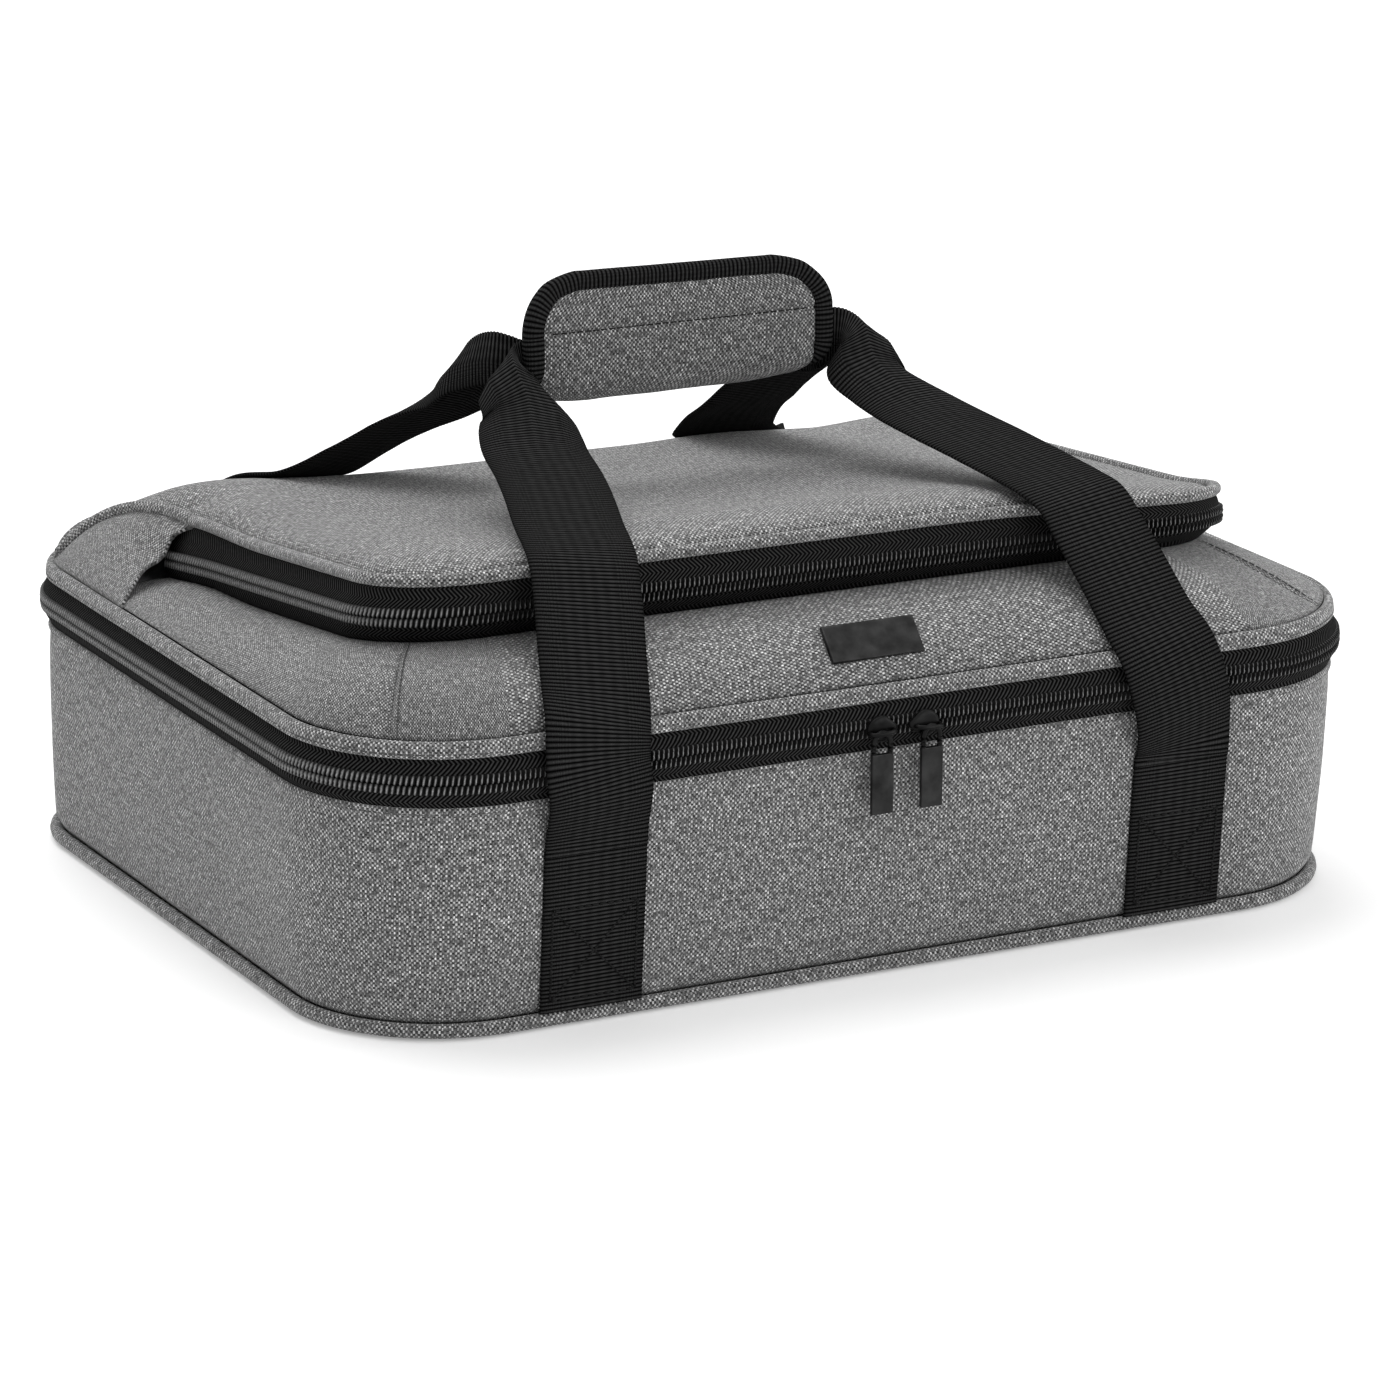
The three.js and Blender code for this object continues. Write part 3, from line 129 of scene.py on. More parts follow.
def ripple(spot: Vector, length: float, seed: float) -> float:
    """A smooth wander between about -1 and 1 at a place, with bumps of a length and a seed of its own."""
    return noise.noise(Vector((spot.x / length + seed, spot.y / length - seed, spot.z / length)))


def rounded(part: float, wide_power: float = 1.0, high_power: float = 1.0) -> tuple[float, float]:
    """A place round a ring that powers below 1 make fuller: how far it is sideways and up."""
    angle = TURN * part
    return signed_power(math.cos(angle), wide_power), signed_power(math.sin(angle), high_power)


def bezier(points: Sequence[Vector], part: float) -> Vector:
    """A point on a curve with four control points.

    Args:
        points: the start, the two handles and the end.
        part: from 0 at the start to 1 at the end.

    Returns:
        The point.
    """
    first, second, third, fourth = points
    left = 1 - part
    return first * left**3 + second * 3 * left**2 * part + third * 3 * left * part**2 + fourth * part**3


def lengths(points: Sequence[Vector]) -> list[float]:
    """The length of a row of points up to each of them.

    Args:
        points: the row.

    Returns:
        As many lengths as there are points.
    """
    reach = [0.0]
    for low, high in zip(points, points[1:]):
        reach.append(reach[-1] + (high - low).length)
    return reach


def find_place(reach: Sequence[float], part: float) -> float:
    """The place, counted in points, at a part of a measured length.

    Args:
        reach: the length up to each point.
        part: from 0 at the start to 1 at the end.

    Returns:
        A count of points with its fraction.
    """
    goal = clamp(part) * reach[-1]
    low, high = 0, len(reach) - 1
    while high - low > 1:
        middle = (low + high) // 2
        low, high = (middle, high) if reach[middle] <= goal else (low, middle)
    step = reach[high] - reach[low]
    return low + (goal - reach[low]) / step if step > 0 else float(low)


@dataclass(frozen=True)
class Spot:
    """A place on an outline with its outward direction in plan."""

    x: float
    y: float
    nx: float
    ny: float

    def at(self, z: float, out: float = 0.0) -> Vector:
        """The place at a level, moved outwards."""
        return Vector((self.x + self.nx * out, self.y + self.ny * out, z))


@dataclass(frozen=True)
class Plan:
    """A rounded rectangle in plan, with rear corners of their own."""

    half_x: float
    front: float
    rear: float
    radius: float
    rear_half_x: float
    rear_radius: float

    def inset(self, by: float) -> "Plan":
        """The same outline moved inwards all round."""
        return Plan(*(value - by for value in astuple(self)))


@dataclass
class Line:
    """A row of spots that can be walked by its length."""

    spots: list[Spot]
    reach: list[float] = field(default_factory=list)

    def __post_init__(self) -> None:
        """Adds up the length to each spot."""
        self.reach = [0.0]
        for low, high in zip(self.spots, self.spots[1:]):
            self.reach.append(self.reach[-1] + math.hypot(high.x - low.x, high.y - low.y))

    @property
    def length(self) -> float:
        """The whole length."""
        return self.reach[-1]

    def place(self, part: float) -> float:
        """The place, counted in spots, at a part of the length."""
        return find_place(self.reach, part)

    def spot(self, place: float) -> Spot:
        """The spot at a place that is counted in spots."""
        low = min(int(place), len(self.spots) - 2)
        pair = zip(astuple(self.spots[low]), astuple(self.spots[low + 1]))
        return Spot(*(mix(a, b, place - low) for a, b in pair))

    def along(self, part: float) -> Spot:
        """The spot at a part of the length."""
        return self.spot(self.place(part))


CORNER_SIDES = ((-1, 1), (-1, -1), (1, -1), (1, 1))
CORNER_STEPS, SIDE_STEPS = 18, 24


def walk(plan: Plan, start: float, end: float, corner_steps: int = CORNER_STEPS) -> Line:
    """Walks round an outline, anticlockwise from above, with as many spots on every outline.

    Args:
        plan: the outline.
        start: where to start, in degrees from +X; 90 is where the rear left corner starts.
        end: where to end; 450 is where the rear right corner ends, and 810 is a second turn.
        corner_steps: steps in a whole corner.

    Returns:
        The line of spots.
    """
    spots: list[Spot] = []
    corner = math.floor((start - 90) / 90)
    while corner * 90 + 90 < end:
        side_x, side_y = CORNER_SIDES[corner % 4]
        low, high = max(start, corner * 90 + 90), min(end, corner * 90 + 180)
        half = plan.rear_half_x if side_y > 0 else plan.half_x
        reach = plan.rear if side_y > 0 else plan.front
        radius = plan.rear_radius if side_y > 0 else plan.radius
        steps = max(1, round(corner_steps * (high - low) / 90))
        arc = []
        for step in range(steps + 1):
            angle = math.radians(mix(low, high, step / steps))
            nx, ny = math.cos(angle), math.sin(angle)
            x, y = side_x * (half - radius) + radius * nx, side_y * (reach - radius) + radius * ny
            arc.append(Spot(x, y, nx, ny))
        if spots:
            pair = Line([spots[-1], arc[0]])
            spots += [pair.spot(step / SIDE_STEPS) for step in range(1, SIDE_STEPS)]
        spots += arc
        corner += 1
    return Line(spots)


def front_line(plan: Plan, rear_end: float) -> Line:
    """A line from a left end round the front to a right end.

    Args:
        plan: the outline.
        rear_end: how far back both ends are.

    Returns:
        The line of spots.
    """
    turn = walk(plan, 180, 360).spots
    ends = []
    for spot in (turn[0], turn[-1]):
        pair = Line([replace(spot, y=rear_end), spot])
        ends.append([pair.spot(step / SIDE_STEPS) for step in range(SIDE_STEPS)])
    return Line(ends[0] + turn + ends[1][::-1])


def curve_point(points: Sequence[Vector], part: float) -> Vector:
    """A point on a smooth curve through points, with spacing by the root of each distance.

    Args:
        points: what the curve passes through.
        part: from 0 at the first point to 1 at the last.

    Returns:
        The point.
    """
    count = len(points)
    place = clamp(part) * (count - 1)
    low = min(int(place), count - 2)
    before = points[low - 1] if low > 0 else points[0] * 2 - points[1]
    after = points[low + 2] if low + 2 < count else points[-1] * 2 - points[-2]
    first, second = points[low], points[low + 1]
    step = max((second - first).length, 1e-6) ** 0.5
    step_before = max((first - before).length, 1e-6) ** 0.5
    step_after = max((after - second).length, 1e-6) ** 0.5
    pace = (second - first) / step
    leave = (first - before) / step_before - (second - before) / (step_before + step) + pace
    reach = pace - (after - first) / (step + step_after) + (after - second) / step_after
    t = place - low
    return (
        first * (2 * t**3 - 3 * t**2 + 1)
        + leave * step * (t**3 - 2 * t**2 + t)
        + second * (3 * t**2 - 2 * t**3)
        + reach * step * (t**3 - t**2)
    )


class Track:
    """A smooth curve that is walked by its length."""

    def __init__(self, points: Sequence[Vector], samples: int = 400) -> None:
        """Measures the curve.

        Args:
            points: what the curve passes through.
            samples: how finely it is measured.
        """
        self.points = list(points)
        self.samples = samples
        self.reach = lengths([curve_point(self.points, i / samples) for i in range(samples + 1)])

    @property
    def length(self) -> float:
        """The curve's length."""
        return self.reach[-1]

    def share(self, part: float) -> float:
        """The curve's own parameter at a part of its length."""
        return find_place(self.reach, part) / self.samples

    def at(self, part: float) -> Vector:
        """The point at a part of the length."""
        return curve_point(self.points, self.share(part))

    def heading(self, part: float) -> Vector:
        """The direction at a part of the length."""
        near = self.share(part)
        return (curve_point(self.points, near + 0.002) - curve_point(self.points, near - 0.002)).normalized()


class Wiring:
    """Places and joins the nodes of one shader or group."""

    def __init__(self, tree: Tree) -> None:
        """Starts with an empty tree."""
        self.tree = tree
        tree.nodes.clear()

    def feed(self, node: Node, inputs: dict) -> None:
        """Gives a node's inputs their values.

        Args:
            node: the node.
            inputs: values or sockets for its inputs, by name or number.
        """
        for key, value in inputs.items():
            if isinstance(value, Socket):
                self.tree.links.new(value, node.inputs[key])
            else:
                node.inputs[key].default_value = value

    def node(self, kind: str, inputs: dict | None = None, **settings: object) -> Node:
        """Adds a node.

        Args:
            kind: the node's type without its "ShaderNode" start.
            inputs: values or sockets for its inputs, by name or number.
            settings: the node's own settings.

        Returns:
            The node.
        """
        made = self.tree.nodes.new(kind if kind.startswith("Node") else f"ShaderNode{kind}")
        for key, value in settings.items():
            setattr(made, key, value)
        self.feed(made, inputs or {})
        return made

    def math(self, operation: str, *values: object) -> Socket:
        """Adds a Math node and gives its result."""
        return self.node("Math", dict(enumerate(values)), operation=operation).outputs[0]

    def scaled(self, value: Socket, by: float, start: object) -> Socket:
        """Multiplies a value and adds the start to it."""
        return self.math("MULTIPLY_ADD", value, by, start)

    def arches(self, value: Socket, turn: float) -> Socket:
        """A row of arches along a value."""
        return self.math("ABSOLUTE", self.math("SINE", self.math("MULTIPLY", value, turn)))

    def stretch(self, vector: Socket, scale: Sequence[float]) -> Socket:
        """Multiplies a place by a scale for each direction."""
        return self.node("VectorMath", {0: vector, 1: tuple(scale)}, operation="MULTIPLY").outputs[0]

    def split(self, place: Socket) -> tuple[Socket, Socket]:
        """The two shares of a place in the cloth."""
        parts = self.node("SeparateXYZ", {0: place}).outputs
        return parts[0], parts[1]

    def noise(self, vector: Socket, scale: float, detail: float = 2.0) -> Socket:
        """Adds a Noise node and gives its factor."""
        inputs = {"Vector": vector, "Scale": scale, "Detail": detail, "Roughness": 0.6}
        return self.node("TexNoise", inputs).outputs["Fac"]

    def blend(self, factor: Socket, low: object, high: object) -> Socket:
        """Mixes two colours."""
        return self.node("Mix", {0: factor, 6: low, 7: high}, data_type="RGBA").outputs[2]

    def ramp(self, factor: Socket, stops: Sequence[tuple[float, Colour]]) -> Socket:
        """Adds a colour ramp.

        Args:
            factor: where to read it.
            stops: its places and their colours.

        Returns:
            The ramp's colour.
        """
        made = self.node("ValToRGB", {0: factor})
        steps = made.color_ramp.elements
        while len(steps) < len(stops):
            steps.new(0.5)
        for step, (place, colour) in zip(steps, stops):
            step.position = place
            step.color = colour
        return made.outputs[0]

    def patches(self, place: Socket, size: float) -> tuple[Socket, Socket]:
        """Places the marks of handling: the broad patches and the fine specks."""
        made = self.node("Group", {"Place": place, "Size": size}, node_tree=handling())
        return made.outputs["Patch"], made.outputs["Speck"]


def grey(value: float) -> Colour:
    """A neutral colour in linear light."""
    return (value, value, value, 1.0)


def new_group(
    name: str, number: str, value: float, outputs: Sequence[str]
) -> tuple[Tree, Wiring, Socket, Socket]:
    """Makes a shader node group that takes a place and a number.

    Args:
        name: the group's name.
        number: the number's name.
        value: the number's default.
        outputs: names of the number outputs.

    Returns:
        The group, its wiring, and the sockets of the place and the number.
    """
    group = bpy.data.node_groups.new(name, "ShaderNodeTree")
    group.interface.new_socket("Place", in_out="INPUT", socket_type="NodeSocketVector")
    group.interface.new_socket(number, in_out="INPUT", socket_type="NodeSocketFloat").default_value = value
    for title in outputs:
        group.interface.new_socket(title, in_out="OUTPUT", socket_type="NodeSocketFloat")
    wiring = Wiring(group)
    source = wiring.node("NodeGroupInput").outputs
    return group, wiring, source[0], source[1]


@cache
def weave() -> Tree:
    """Crossing yarns: their height, which one lies on top, and the tones of both.

    Returns:
        The node group.
    """
    outputs = ("Height", "Over", "Warp", "Weft")
    group, wiring, place, count = new_group("crossing_yarns", "Yarns", 1600.0, outputs)
    yarns = wiring.node("VectorMath", {0: place, "Scale": count}, operation="SCALE").outputs[0]
    over = wiring.node("TexChecker", {"Vector": yarns, "Scale": 1.0}).outputs["Fac"]
    arches = [wiring.arches(part, math.pi) for part in wiring.split(yarns)]
    height = wiring.node("Mix", {0: over, 2: arches[0], 3: arches[1]}).outputs[0]
    ways = ((1.0, 0.3, 1.0), (0.3, 1.0, 1.0))
    warp, weft = [wiring.noise(wiring.stretch(yarns, way), 1.0, 1.0) for way in ways]
    wiring.node("NodeGroupOutput", {0: height, 1: over, 2: warp, 3: weft})
    return group


@cache
def handling() -> Tree:
    """Broad uneven patches from handling, dust and the way cloth takes dye, and fine specks.

    Returns:
        The node group.
    """
    group, wiring, place, size = new_group("handling_patches", "Size", 30.0, ("Patch", "Speck"))
    broad = wiring.node("TexNoise", {"Vector": place, "Scale": size, "Detail": 3.0})
    fine = wiring.node("TexNoise", {"Vector": place, "Scale": 900.0, "Detail": 2.0})
    wiring.node("NodeGroupOutput", {0: broad.outputs["Fac"], 1: fine.outputs["Fac"]})
    return group


@dataclass(frozen=True)
class Finish:
    """A finish: its name, its relief's height in metres and the values that are the same all over."""

    name: str
    depth: ClassVar[float] = 0.0002
    even: ClassVar[dict[str, float]] = {}

    def draw(self, wiring: Wiring) -> dict[str, Socket]:
        """Draws what changes from place to place, by the shader's input names, and the relief as Height."""
        raise NotImplementedError

    def build(self) -> Material:
        """Makes the material.

        Returns:
            The material.
        """
        material = bpy.data.materials.new(self.name)
        material.use_nodes = True
        wiring = Wiring(material.node_tree)
        shader = wiring.node("BsdfPrincipled", self.even)
        wiring.node("OutputMaterial", {"Surface": shader.outputs[0]})
        look = self.draw(wiring)
        relief = {"Height": look.pop("Height"), "Strength": 1.0, "Distance": self.depth}
        wiring.feed(shader, {**look, "Normal": wiring.node("Bump", relief).outputs[0]})
        return material


@dataclass(frozen=True)
class MelangeCloth(Finish):
    """Grey cloth of light and dark yarns, woven plain."""

    dark: float = 0.010
    middle: float = 0.135
    light: float = 0.68
    yarns: float = 1110.0
    even: ClassVar[dict[str, float]] = {
        "Roughness": 0.95, "Specular IOR Level": 0.2, "Sheen Weight": 0.3, "Sheen Roughness": 0.6
    }

    def draw(self, wiring: Wiring) -> dict[str, Socket]:
        """Draws light yarns over dark ones, with brighter places along both.

        Args:
            wiring: the material's wiring.

        Returns:
            The colour and the height.
        """
        place = wiring.node("UVMap").outputs[0]
        yarns = wiring.node("Group", {"Place": place, "Yarns": self.yarns}, node_tree=weave()).outputs
        patch = wiring.patches(place, 34.0)[0]
        light = wiring.ramp(yarns["Warp"], ((0.40, grey(self.middle)), (0.60, grey(self.light))))
        dark = wiring.ramp(yarns["Weft"], ((0.40, grey(self.dark)), (0.60, grey(self.middle))))
        yarn = wiring.blend(yarns["Over"], light, dark)
        slub = wiring.noise(wiring.stretch(place, (80.0, 1300.0, 1.0)), 1.0, 1.0)
        strand = wiring.noise(wiring.stretch(place, (1300.0, 110.0, 1.0)), 1.0, 1.0)
        bright = [wiring.ramp(way, ((0.58, grey(0.0)), (0.72, grey(1.0)))) for way in (slub, strand)]
        even = wiring.scaled(wiring.math("ADD", slub, strand), 0.5, 0.42)
        streak = wiring.scaled(wiring.math("ADD", *bright), 0.5, even)
        relief = wiring.scaled(yarns["Height"], 0.6, 0.5)
        shade = wiring.scaled(patch, 0.30, 0.85)
        tone = wiring.math("MULTIPLY", wiring.math("MULTIPLY", relief, shade), streak)
        tinted = wiring.node("VectorMath", {0: yarn, 1: tone}, operation="MULTIPLY").outputs[0]
        return {"Base Color": tinted, "Height": wiring.scaled(streak, 0.4, yarns["Height"])}


@dataclass(frozen=True)
class RibbedWebbing(Finish):
    """Black webbing: the ribs are in the mesh; here are the yarns across them, with a painted highlight on
    the rib crests and painted shade in the grooves.
    """

    # low is the painted shade in the grooves, high the painted highlight on the rib crests.
    low: float = 0.0004
    high: float = 0.046
    pitch: float = 0.0015
    column: float = 0.0011
    even: ClassVar[dict[str, float]] = {"Roughness": 0.9, "Specular IOR Level": 0.02}

    def draw(self, wiring: Wiring) -> dict[str, Socket]:
        """Draws a painted highlight on the ribs' crests, painted shade in the grooves between them, and the
        yarns across them.

        Args:
            wiring: the material's wiring.

        Returns:
            The colour and the height.
        """
        place = wiring.node("UVMap").outputs[0]
        across, along = wiring.split(place)
        crest = wiring.arches(along, math.pi / self.pitch)
        turns = wiring.math("MULTIPLY", across, TURN / self.column)
        yarn = wiring.scaled(wiring.math("SINE", turns), 0.5, 0.5)
        speck = wiring.patches(place, 60.0)[1]
        # Painted highlight: the rib crests, in step with the mesh's ribs, get a lighter base colour, and the
        # grooves stay near black as painted shade; yarns and specks vary it.
        tone = wiring.math("MULTIPLY", wiring.math("POWER", crest, 2.2), wiring.scaled(yarn, 0.25, 0.8))
        uneven = wiring.math("MULTIPLY", tone, wiring.scaled(speck, 1.0, 0.5))
        colour = wiring.blend(uneven, grey(self.low), grey(self.high))
        return {"Base Color": colour, "Height": wiring.math("ADD", yarn, crest)}


@dataclass(frozen=True)
class ZipTape(Finish):
    """Black woven zip tape with a herringbone."""

    low: float = 0.0004
    high: float = 0.055
    row: float = 0.0034
    yarn: float = 0.0017
    depth: ClassVar[float] = 0.00018
    even: ClassVar[dict[str, float]] = {"Roughness": 0.9, "Specular IOR Level": 0.02}

    def draw(self, wiring: Wiring) -> dict[str, Socket]:
        """Draws rows of twill that lean to and fro.

        Args:
            wiring: the material's wiring.

        Returns:
            The colour and the height.
        """
        place = wiring.node("UVMap").outputs[0]
        along, across = wiring.split(place)
        rows = wiring.math("PINGPONG", wiring.math("DIVIDE", across, self.row), 1.0)
        leaning = wiring.math("MULTIPLY", rows, TURN * self.row / self.yarn)
        slant = wiring.scaled(along, TURN / self.yarn, leaning)
        twill = wiring.math("POWER", wiring.scaled(wiring.math("SINE", slant), 0.5, 0.5), 2.0)
        speck = wiring.patches(place, 90.0)[1]
        uneven = wiring.math("MULTIPLY", twill, wiring.scaled(speck, 1.1, 0.35))
        colour = wiring.blend(uneven, grey(self.low), grey(self.high))
        return {"Base Color": colour, "Height": twill}


@dataclass(frozen=True)
class NylonCoil(Finish):
    """Black nylon coil, with painted glints: the base colour is bright on each turn's crest and black between
    the turns.
    """

    low: float = 0.0005
    # high is the colour of the painted glints.
    high: float = 0.36
    pitch: float = 0.0019
    half: float = 0.0036
    lean: float = -0.3
    depth: ClassVar[float] = 0.00005
    even: ClassVar[dict[str, float]] = {"Specular IOR Level": 0.08}

    def draw(self, wiring: Wiring) -> dict[str, Socket]:
        """Draws painted glints on the leaning turns, brightest midway across each half and dark along the
        chain's middle and its outer edge.

        Args:
            wiring: the material's wiring.

        Returns:
            The colour, the roughness and the height.
        """
        place = wiring.node("UVMap").outputs[0]
        along, across = wiring.split(place)
        lean = wiring.math("MULTIPLY", across, self.lean * TURN / self.half)
        turns = wiring.math("COSINE", wiring.scaled(along, TURN / self.pitch, lean))
        crest = wiring.math("POWER", wiring.scaled(turns, 0.5, 0.5), 5.0)
        glint_bands = wiring.arches(across, math.pi / self.half)
        # Painted glint: the turns' crests, in a band midway across the half, get a light base colour, and
        # specks vary it.
        glint_mask = wiring.math("MULTIPLY", crest, wiring.math("POWER", glint_bands, 0.8))
        speck = wiring.patches(place, 120.0)[1]
        painted_glint = wiring.math("MULTIPLY", glint_mask, wiring.scaled(speck, 1.4, 0.2))
        colour = wiring.blend(painted_glint, grey(self.low), grey(self.high))
        return {"Base Color": colour, "Roughness": wiring.scaled(speck, 0.2, 0.3), "Height": speck}


@dataclass(frozen=True)
class WipeLining(Finish):
    """Silver-grey coated lining with a light crinkle."""

    low: Colour = (0.45, 0.46, 0.48, 1.0)
    high: Colour = (0.54, 0.55, 0.56, 1.0)
    depth: ClassVar[float] = 0.0006
    even: ClassVar[dict[str, float]] = {"Metallic": 0.25}

    def draw(self, wiring: Wiring) -> dict[str, Socket]:
        """Draws a crinkle over a fine grain.

        Args:
            wiring: the material's wiring.

        Returns:
            The colour, the roughness and the height.
        """
        place = wiring.node("UVMap").outputs[0]
        patch, speck = wiring.patches(place, 28.0)
        yarns = wiring.node("Group", {"Place": place, "Yarns": 1300.0}, node_tree=weave()).outputs
        colour = wiring.ramp(patch, ((0.3, self.low), (0.7, self.high)))
        height = wiring.math("ADD", patch, wiring.math("MULTIPLY", yarns["Height"], 0.15))
        return {"Base Color": colour, "Roughness": wiring.scaled(speck, 0.25, 0.28), "Height": height}


@dataclass(frozen=True)
class DarkMetal(Finish):
    """Satin gunmetal, a little brighter where it is handled."""

    low: float = 0.014
    high: float = 0.04
    depth: ClassVar[float] = 0.00003
    even: ClassVar[dict[str, float]] = {"Metallic": 0.85}

    def draw(self, wiring: Wiring) -> dict[str, Socket]:
        """Draws brighter patches and specks.

        Args:
            wiring: the material's wiring.

        Returns:
            The colour, the roughness and the height.
        """
        patch, speck = wiring.patches(wiring.node("TexCoord").outputs["Object"], 160.0)
        colour = wiring.ramp(patch, ((0.3, grey(self.low)), (0.72, grey(self.high))))
        return {"Base Color": colour, "Roughness": wiring.scaled(speck, 0.22, 0.26), "Height": speck}


@dataclass(frozen=True)
class SewingThread(Finish):
    """Twisted thread."""

    low: float = 0.02
    high: float = 0.07
    depth: ClassVar[float] = 0.00006
    even: ClassVar[dict[str, float]] = {"Roughness": 0.8, "Specular IOR Level": 0.1}

    def draw(self, wiring: Wiring) -> dict[str, Socket]:
        """Draws fine patches.

        Args:
            wiring: the material's wiring.

        Returns:
            The colour and the height.
        """
        patch, speck = wiring.patches(wiring.node("TexCoord").outputs["Object"], 700.0)
        colour = wiring.ramp(patch, ((0.3, grey(self.low)), (0.7, grey(self.high))))
        return {"Base Color": colour, "Height": speck}


class Wardrobe:
    """Every material of the carrier, made once."""

    def __init__(self) -> None:
        """Builds the finishes."""
        self.cloth = MelangeCloth("melange_cloth").build()
        self.pad_cloth = MelangeCloth("pad_cloth", dark=0.006, middle=0.1, light=0.6).build()
        self.webbing = RibbedWebbing("ribbed_webbing").build()
        self.binding = RibbedWebbing("ribbed_binding", high=0.04, pitch=0.0017).build()
        self.tape = ZipTape("zip_tape_weave").build()
        self.coil = NylonCoil("nylon_coil").build()
        self.lining = WipeLining("wipe_lining").build()
        self.metal = DarkMetal("dark_satin_metal").build()
        self.black_metal = DarkMetal("black_slider_metal", low=0.004, high=0.014).build()
        self.grey_thread = SewingThread("grey_thread", low=0.045, high=0.13).build()
        self.black_thread = SewingThread("black_thread", low=0.004, high=0.018).build()


def new_piece(name: str, mesh: bmesh.types.BMesh, material: Material) -> Piece:
    """Turns a bmesh into an object in the scene.

    Args:
        name: the piece's name.
        mesh: its mesh, in metres; it is freed.
        material: its finish.

    Returns:
        The object.
    """
    data = bpy.data.meshes.new(name)
    mesh.to_mesh(data)
    mesh.free()
    data.polygons.foreach_set("use_smooth", [True] * len(data.polygons))
    data.materials.append(material)
    piece = bpy.data.objects.new(name, data)
    bpy.context.scene.collection.objects.link(piece)
    return piece


def mapped(
    name: str,
    place: Place,
    steps: tuple[int, int],
    cut: tuple[float, float],
    material: Material,
    closed: bool = False,
    solid: bool = False,
    start: float = 0.0,
) -> Piece:
    """Lays a grid of cloth over a surface.

    Args:
        name: the piece's name.
        place: the surface: a point in millimetres for u and v from 0 to 1.
        steps: faces along u and v.
        cut: the cloth's size along u and v in millimetres, which its weave follows.
        material: its finish.
        closed: whether edges that meet are joined.
        solid: whether open ends are filled, for a tube.
        start: where the weave starts along u, in millimetres.

    Returns:
        The object.
    """
    mesh = bmesh.new()
    bmesh.ops.create_grid(mesh, x_segments=steps[0], y_segments=steps[1], size=0.5)
    layer = mesh.loops.layers.uv.new("cloth")
    for face in mesh.faces:
        for loop in face.loops:
            spot = loop.vert.co
            loop[layer].uv = ((start + (spot.x + 0.5) * cut[0]) * MM, (spot.y + 0.5) * cut[1] * MM)
    for vertex in mesh.verts:
        vertex.co = place(vertex.co.x + 0.5, vertex.co.y + 0.5) * MM
    if closed or solid:
        bmesh.ops.remove_doubles(mesh, verts=mesh.verts, dist=2e-6)
    if solid:
        bmesh.ops.holes_fill(mesh, edges=[edge for edge in mesh.edges if edge.is_boundary], sides=0)
        bmesh.ops.recalc_face_normals(mesh, faces=mesh.faces)
    return new_piece(name, mesh, material)


def thicken(piece: Piece, thickness: float) -> Piece:
    """Gives a sheet its thickness, inwards from its face.

    Args:
        piece: the sheet.
        thickness: in millimetres.

    Returns:
        The piece.
    """
    wall = piece.modifiers.new("thickness", "SOLIDIFY")
    wall.thickness = thickness * MM
    wall.offset = -1.0
    wall.use_even_offset = True
    return piece


def settle(
    piece: Piece,
    body: str,
    nodes: Sequence[str] = (),
    bend: tuple[str, Vector, Vector] | None = None,
) -> None:
    """Makes a piece ride on a body, or keeps it fixed in place where it spans two bodies, and hides the nodes
    it stands for.

    Args:
        piece: the piece, in place.
        body: the body's name.
        nodes: the nodes it stands for.
        bend: the other body, which is only named in the log, and where the bend starts and ends in
            millimetres, which is not used.
    """
    if nodes:
        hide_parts(*nodes)
    if bend:
        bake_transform(piece)
    else:
        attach(piece, body)
    LOG.info("%s is on %s", piece.name, " and ".join([body, *bend[:1]] if bend else [body]))


def add_block(
    mesh: bmesh.types.BMesh, axes: Sequence[Vector], middle: Vector, size: Sequence[float]
) -> list[bmesh.types.BMVert]:
    """Adds a block to a mesh.

    Args:
        mesh: the mesh, in metres.
        axes: the block's three directions.
        middle: its middle in millimetres.
        size: its size along each direction.

    Returns:
        Its corners.
    """
    turn = Matrix(axes).transposed().to_4x4()
    turn.translation = middle * MM
    scale = Matrix.Diagonal((*(value * MM for value in size), 1.0))
    return bmesh.ops.create_cube(mesh, size=1.0, matrix=turn @ scale)["verts"]


STITCH_LENGTH, STITCH_SINK = 0.74, 0.22


def stitches(
    name: str,
    rows: Sequence[Sequence[tuple[Vector, Vector]]],
    material: Material,
    pitch: float = 3.4,
    width: float = 0.55,
) -> Piece:
    """Sews rows of stitches.

    Args:
        name: the piece's name.
        rows: each row's points with the cloth's outward direction there.
        material: the thread.
        pitch: from stitch to stitch, in millimetres.
        width: the thread's width.

    Returns:
        The object.
    """
    mesh = bmesh.new()
    for row in rows:
        track = Track([point for point, _ in row], samples=max(60, 4 * len(row)))
        count = max(1, round(track.length / pitch))
        for step in range(count):
            part = (step + 0.5) / count
            along = track.heading(part)
            place = track.share(part) * (len(row) - 1)
            low = min(int(place), len(row) - 2)
            face = row[low][1].lerp(row[low + 1][1], place - low)
            face = (face - along * face.dot(along)).normalized()
            middle = track.at(part) + face * width * 0.1
            size = (pitch * STITCH_LENGTH, width, width * 0.8)
            for vertex in add_block(mesh, (along, face.cross(along), face), middle, size):
                vertex.co -= face * (abs((vertex.co - middle * MM).dot(along)) * STITCH_SINK)
    return new_piece(name, mesh, material)


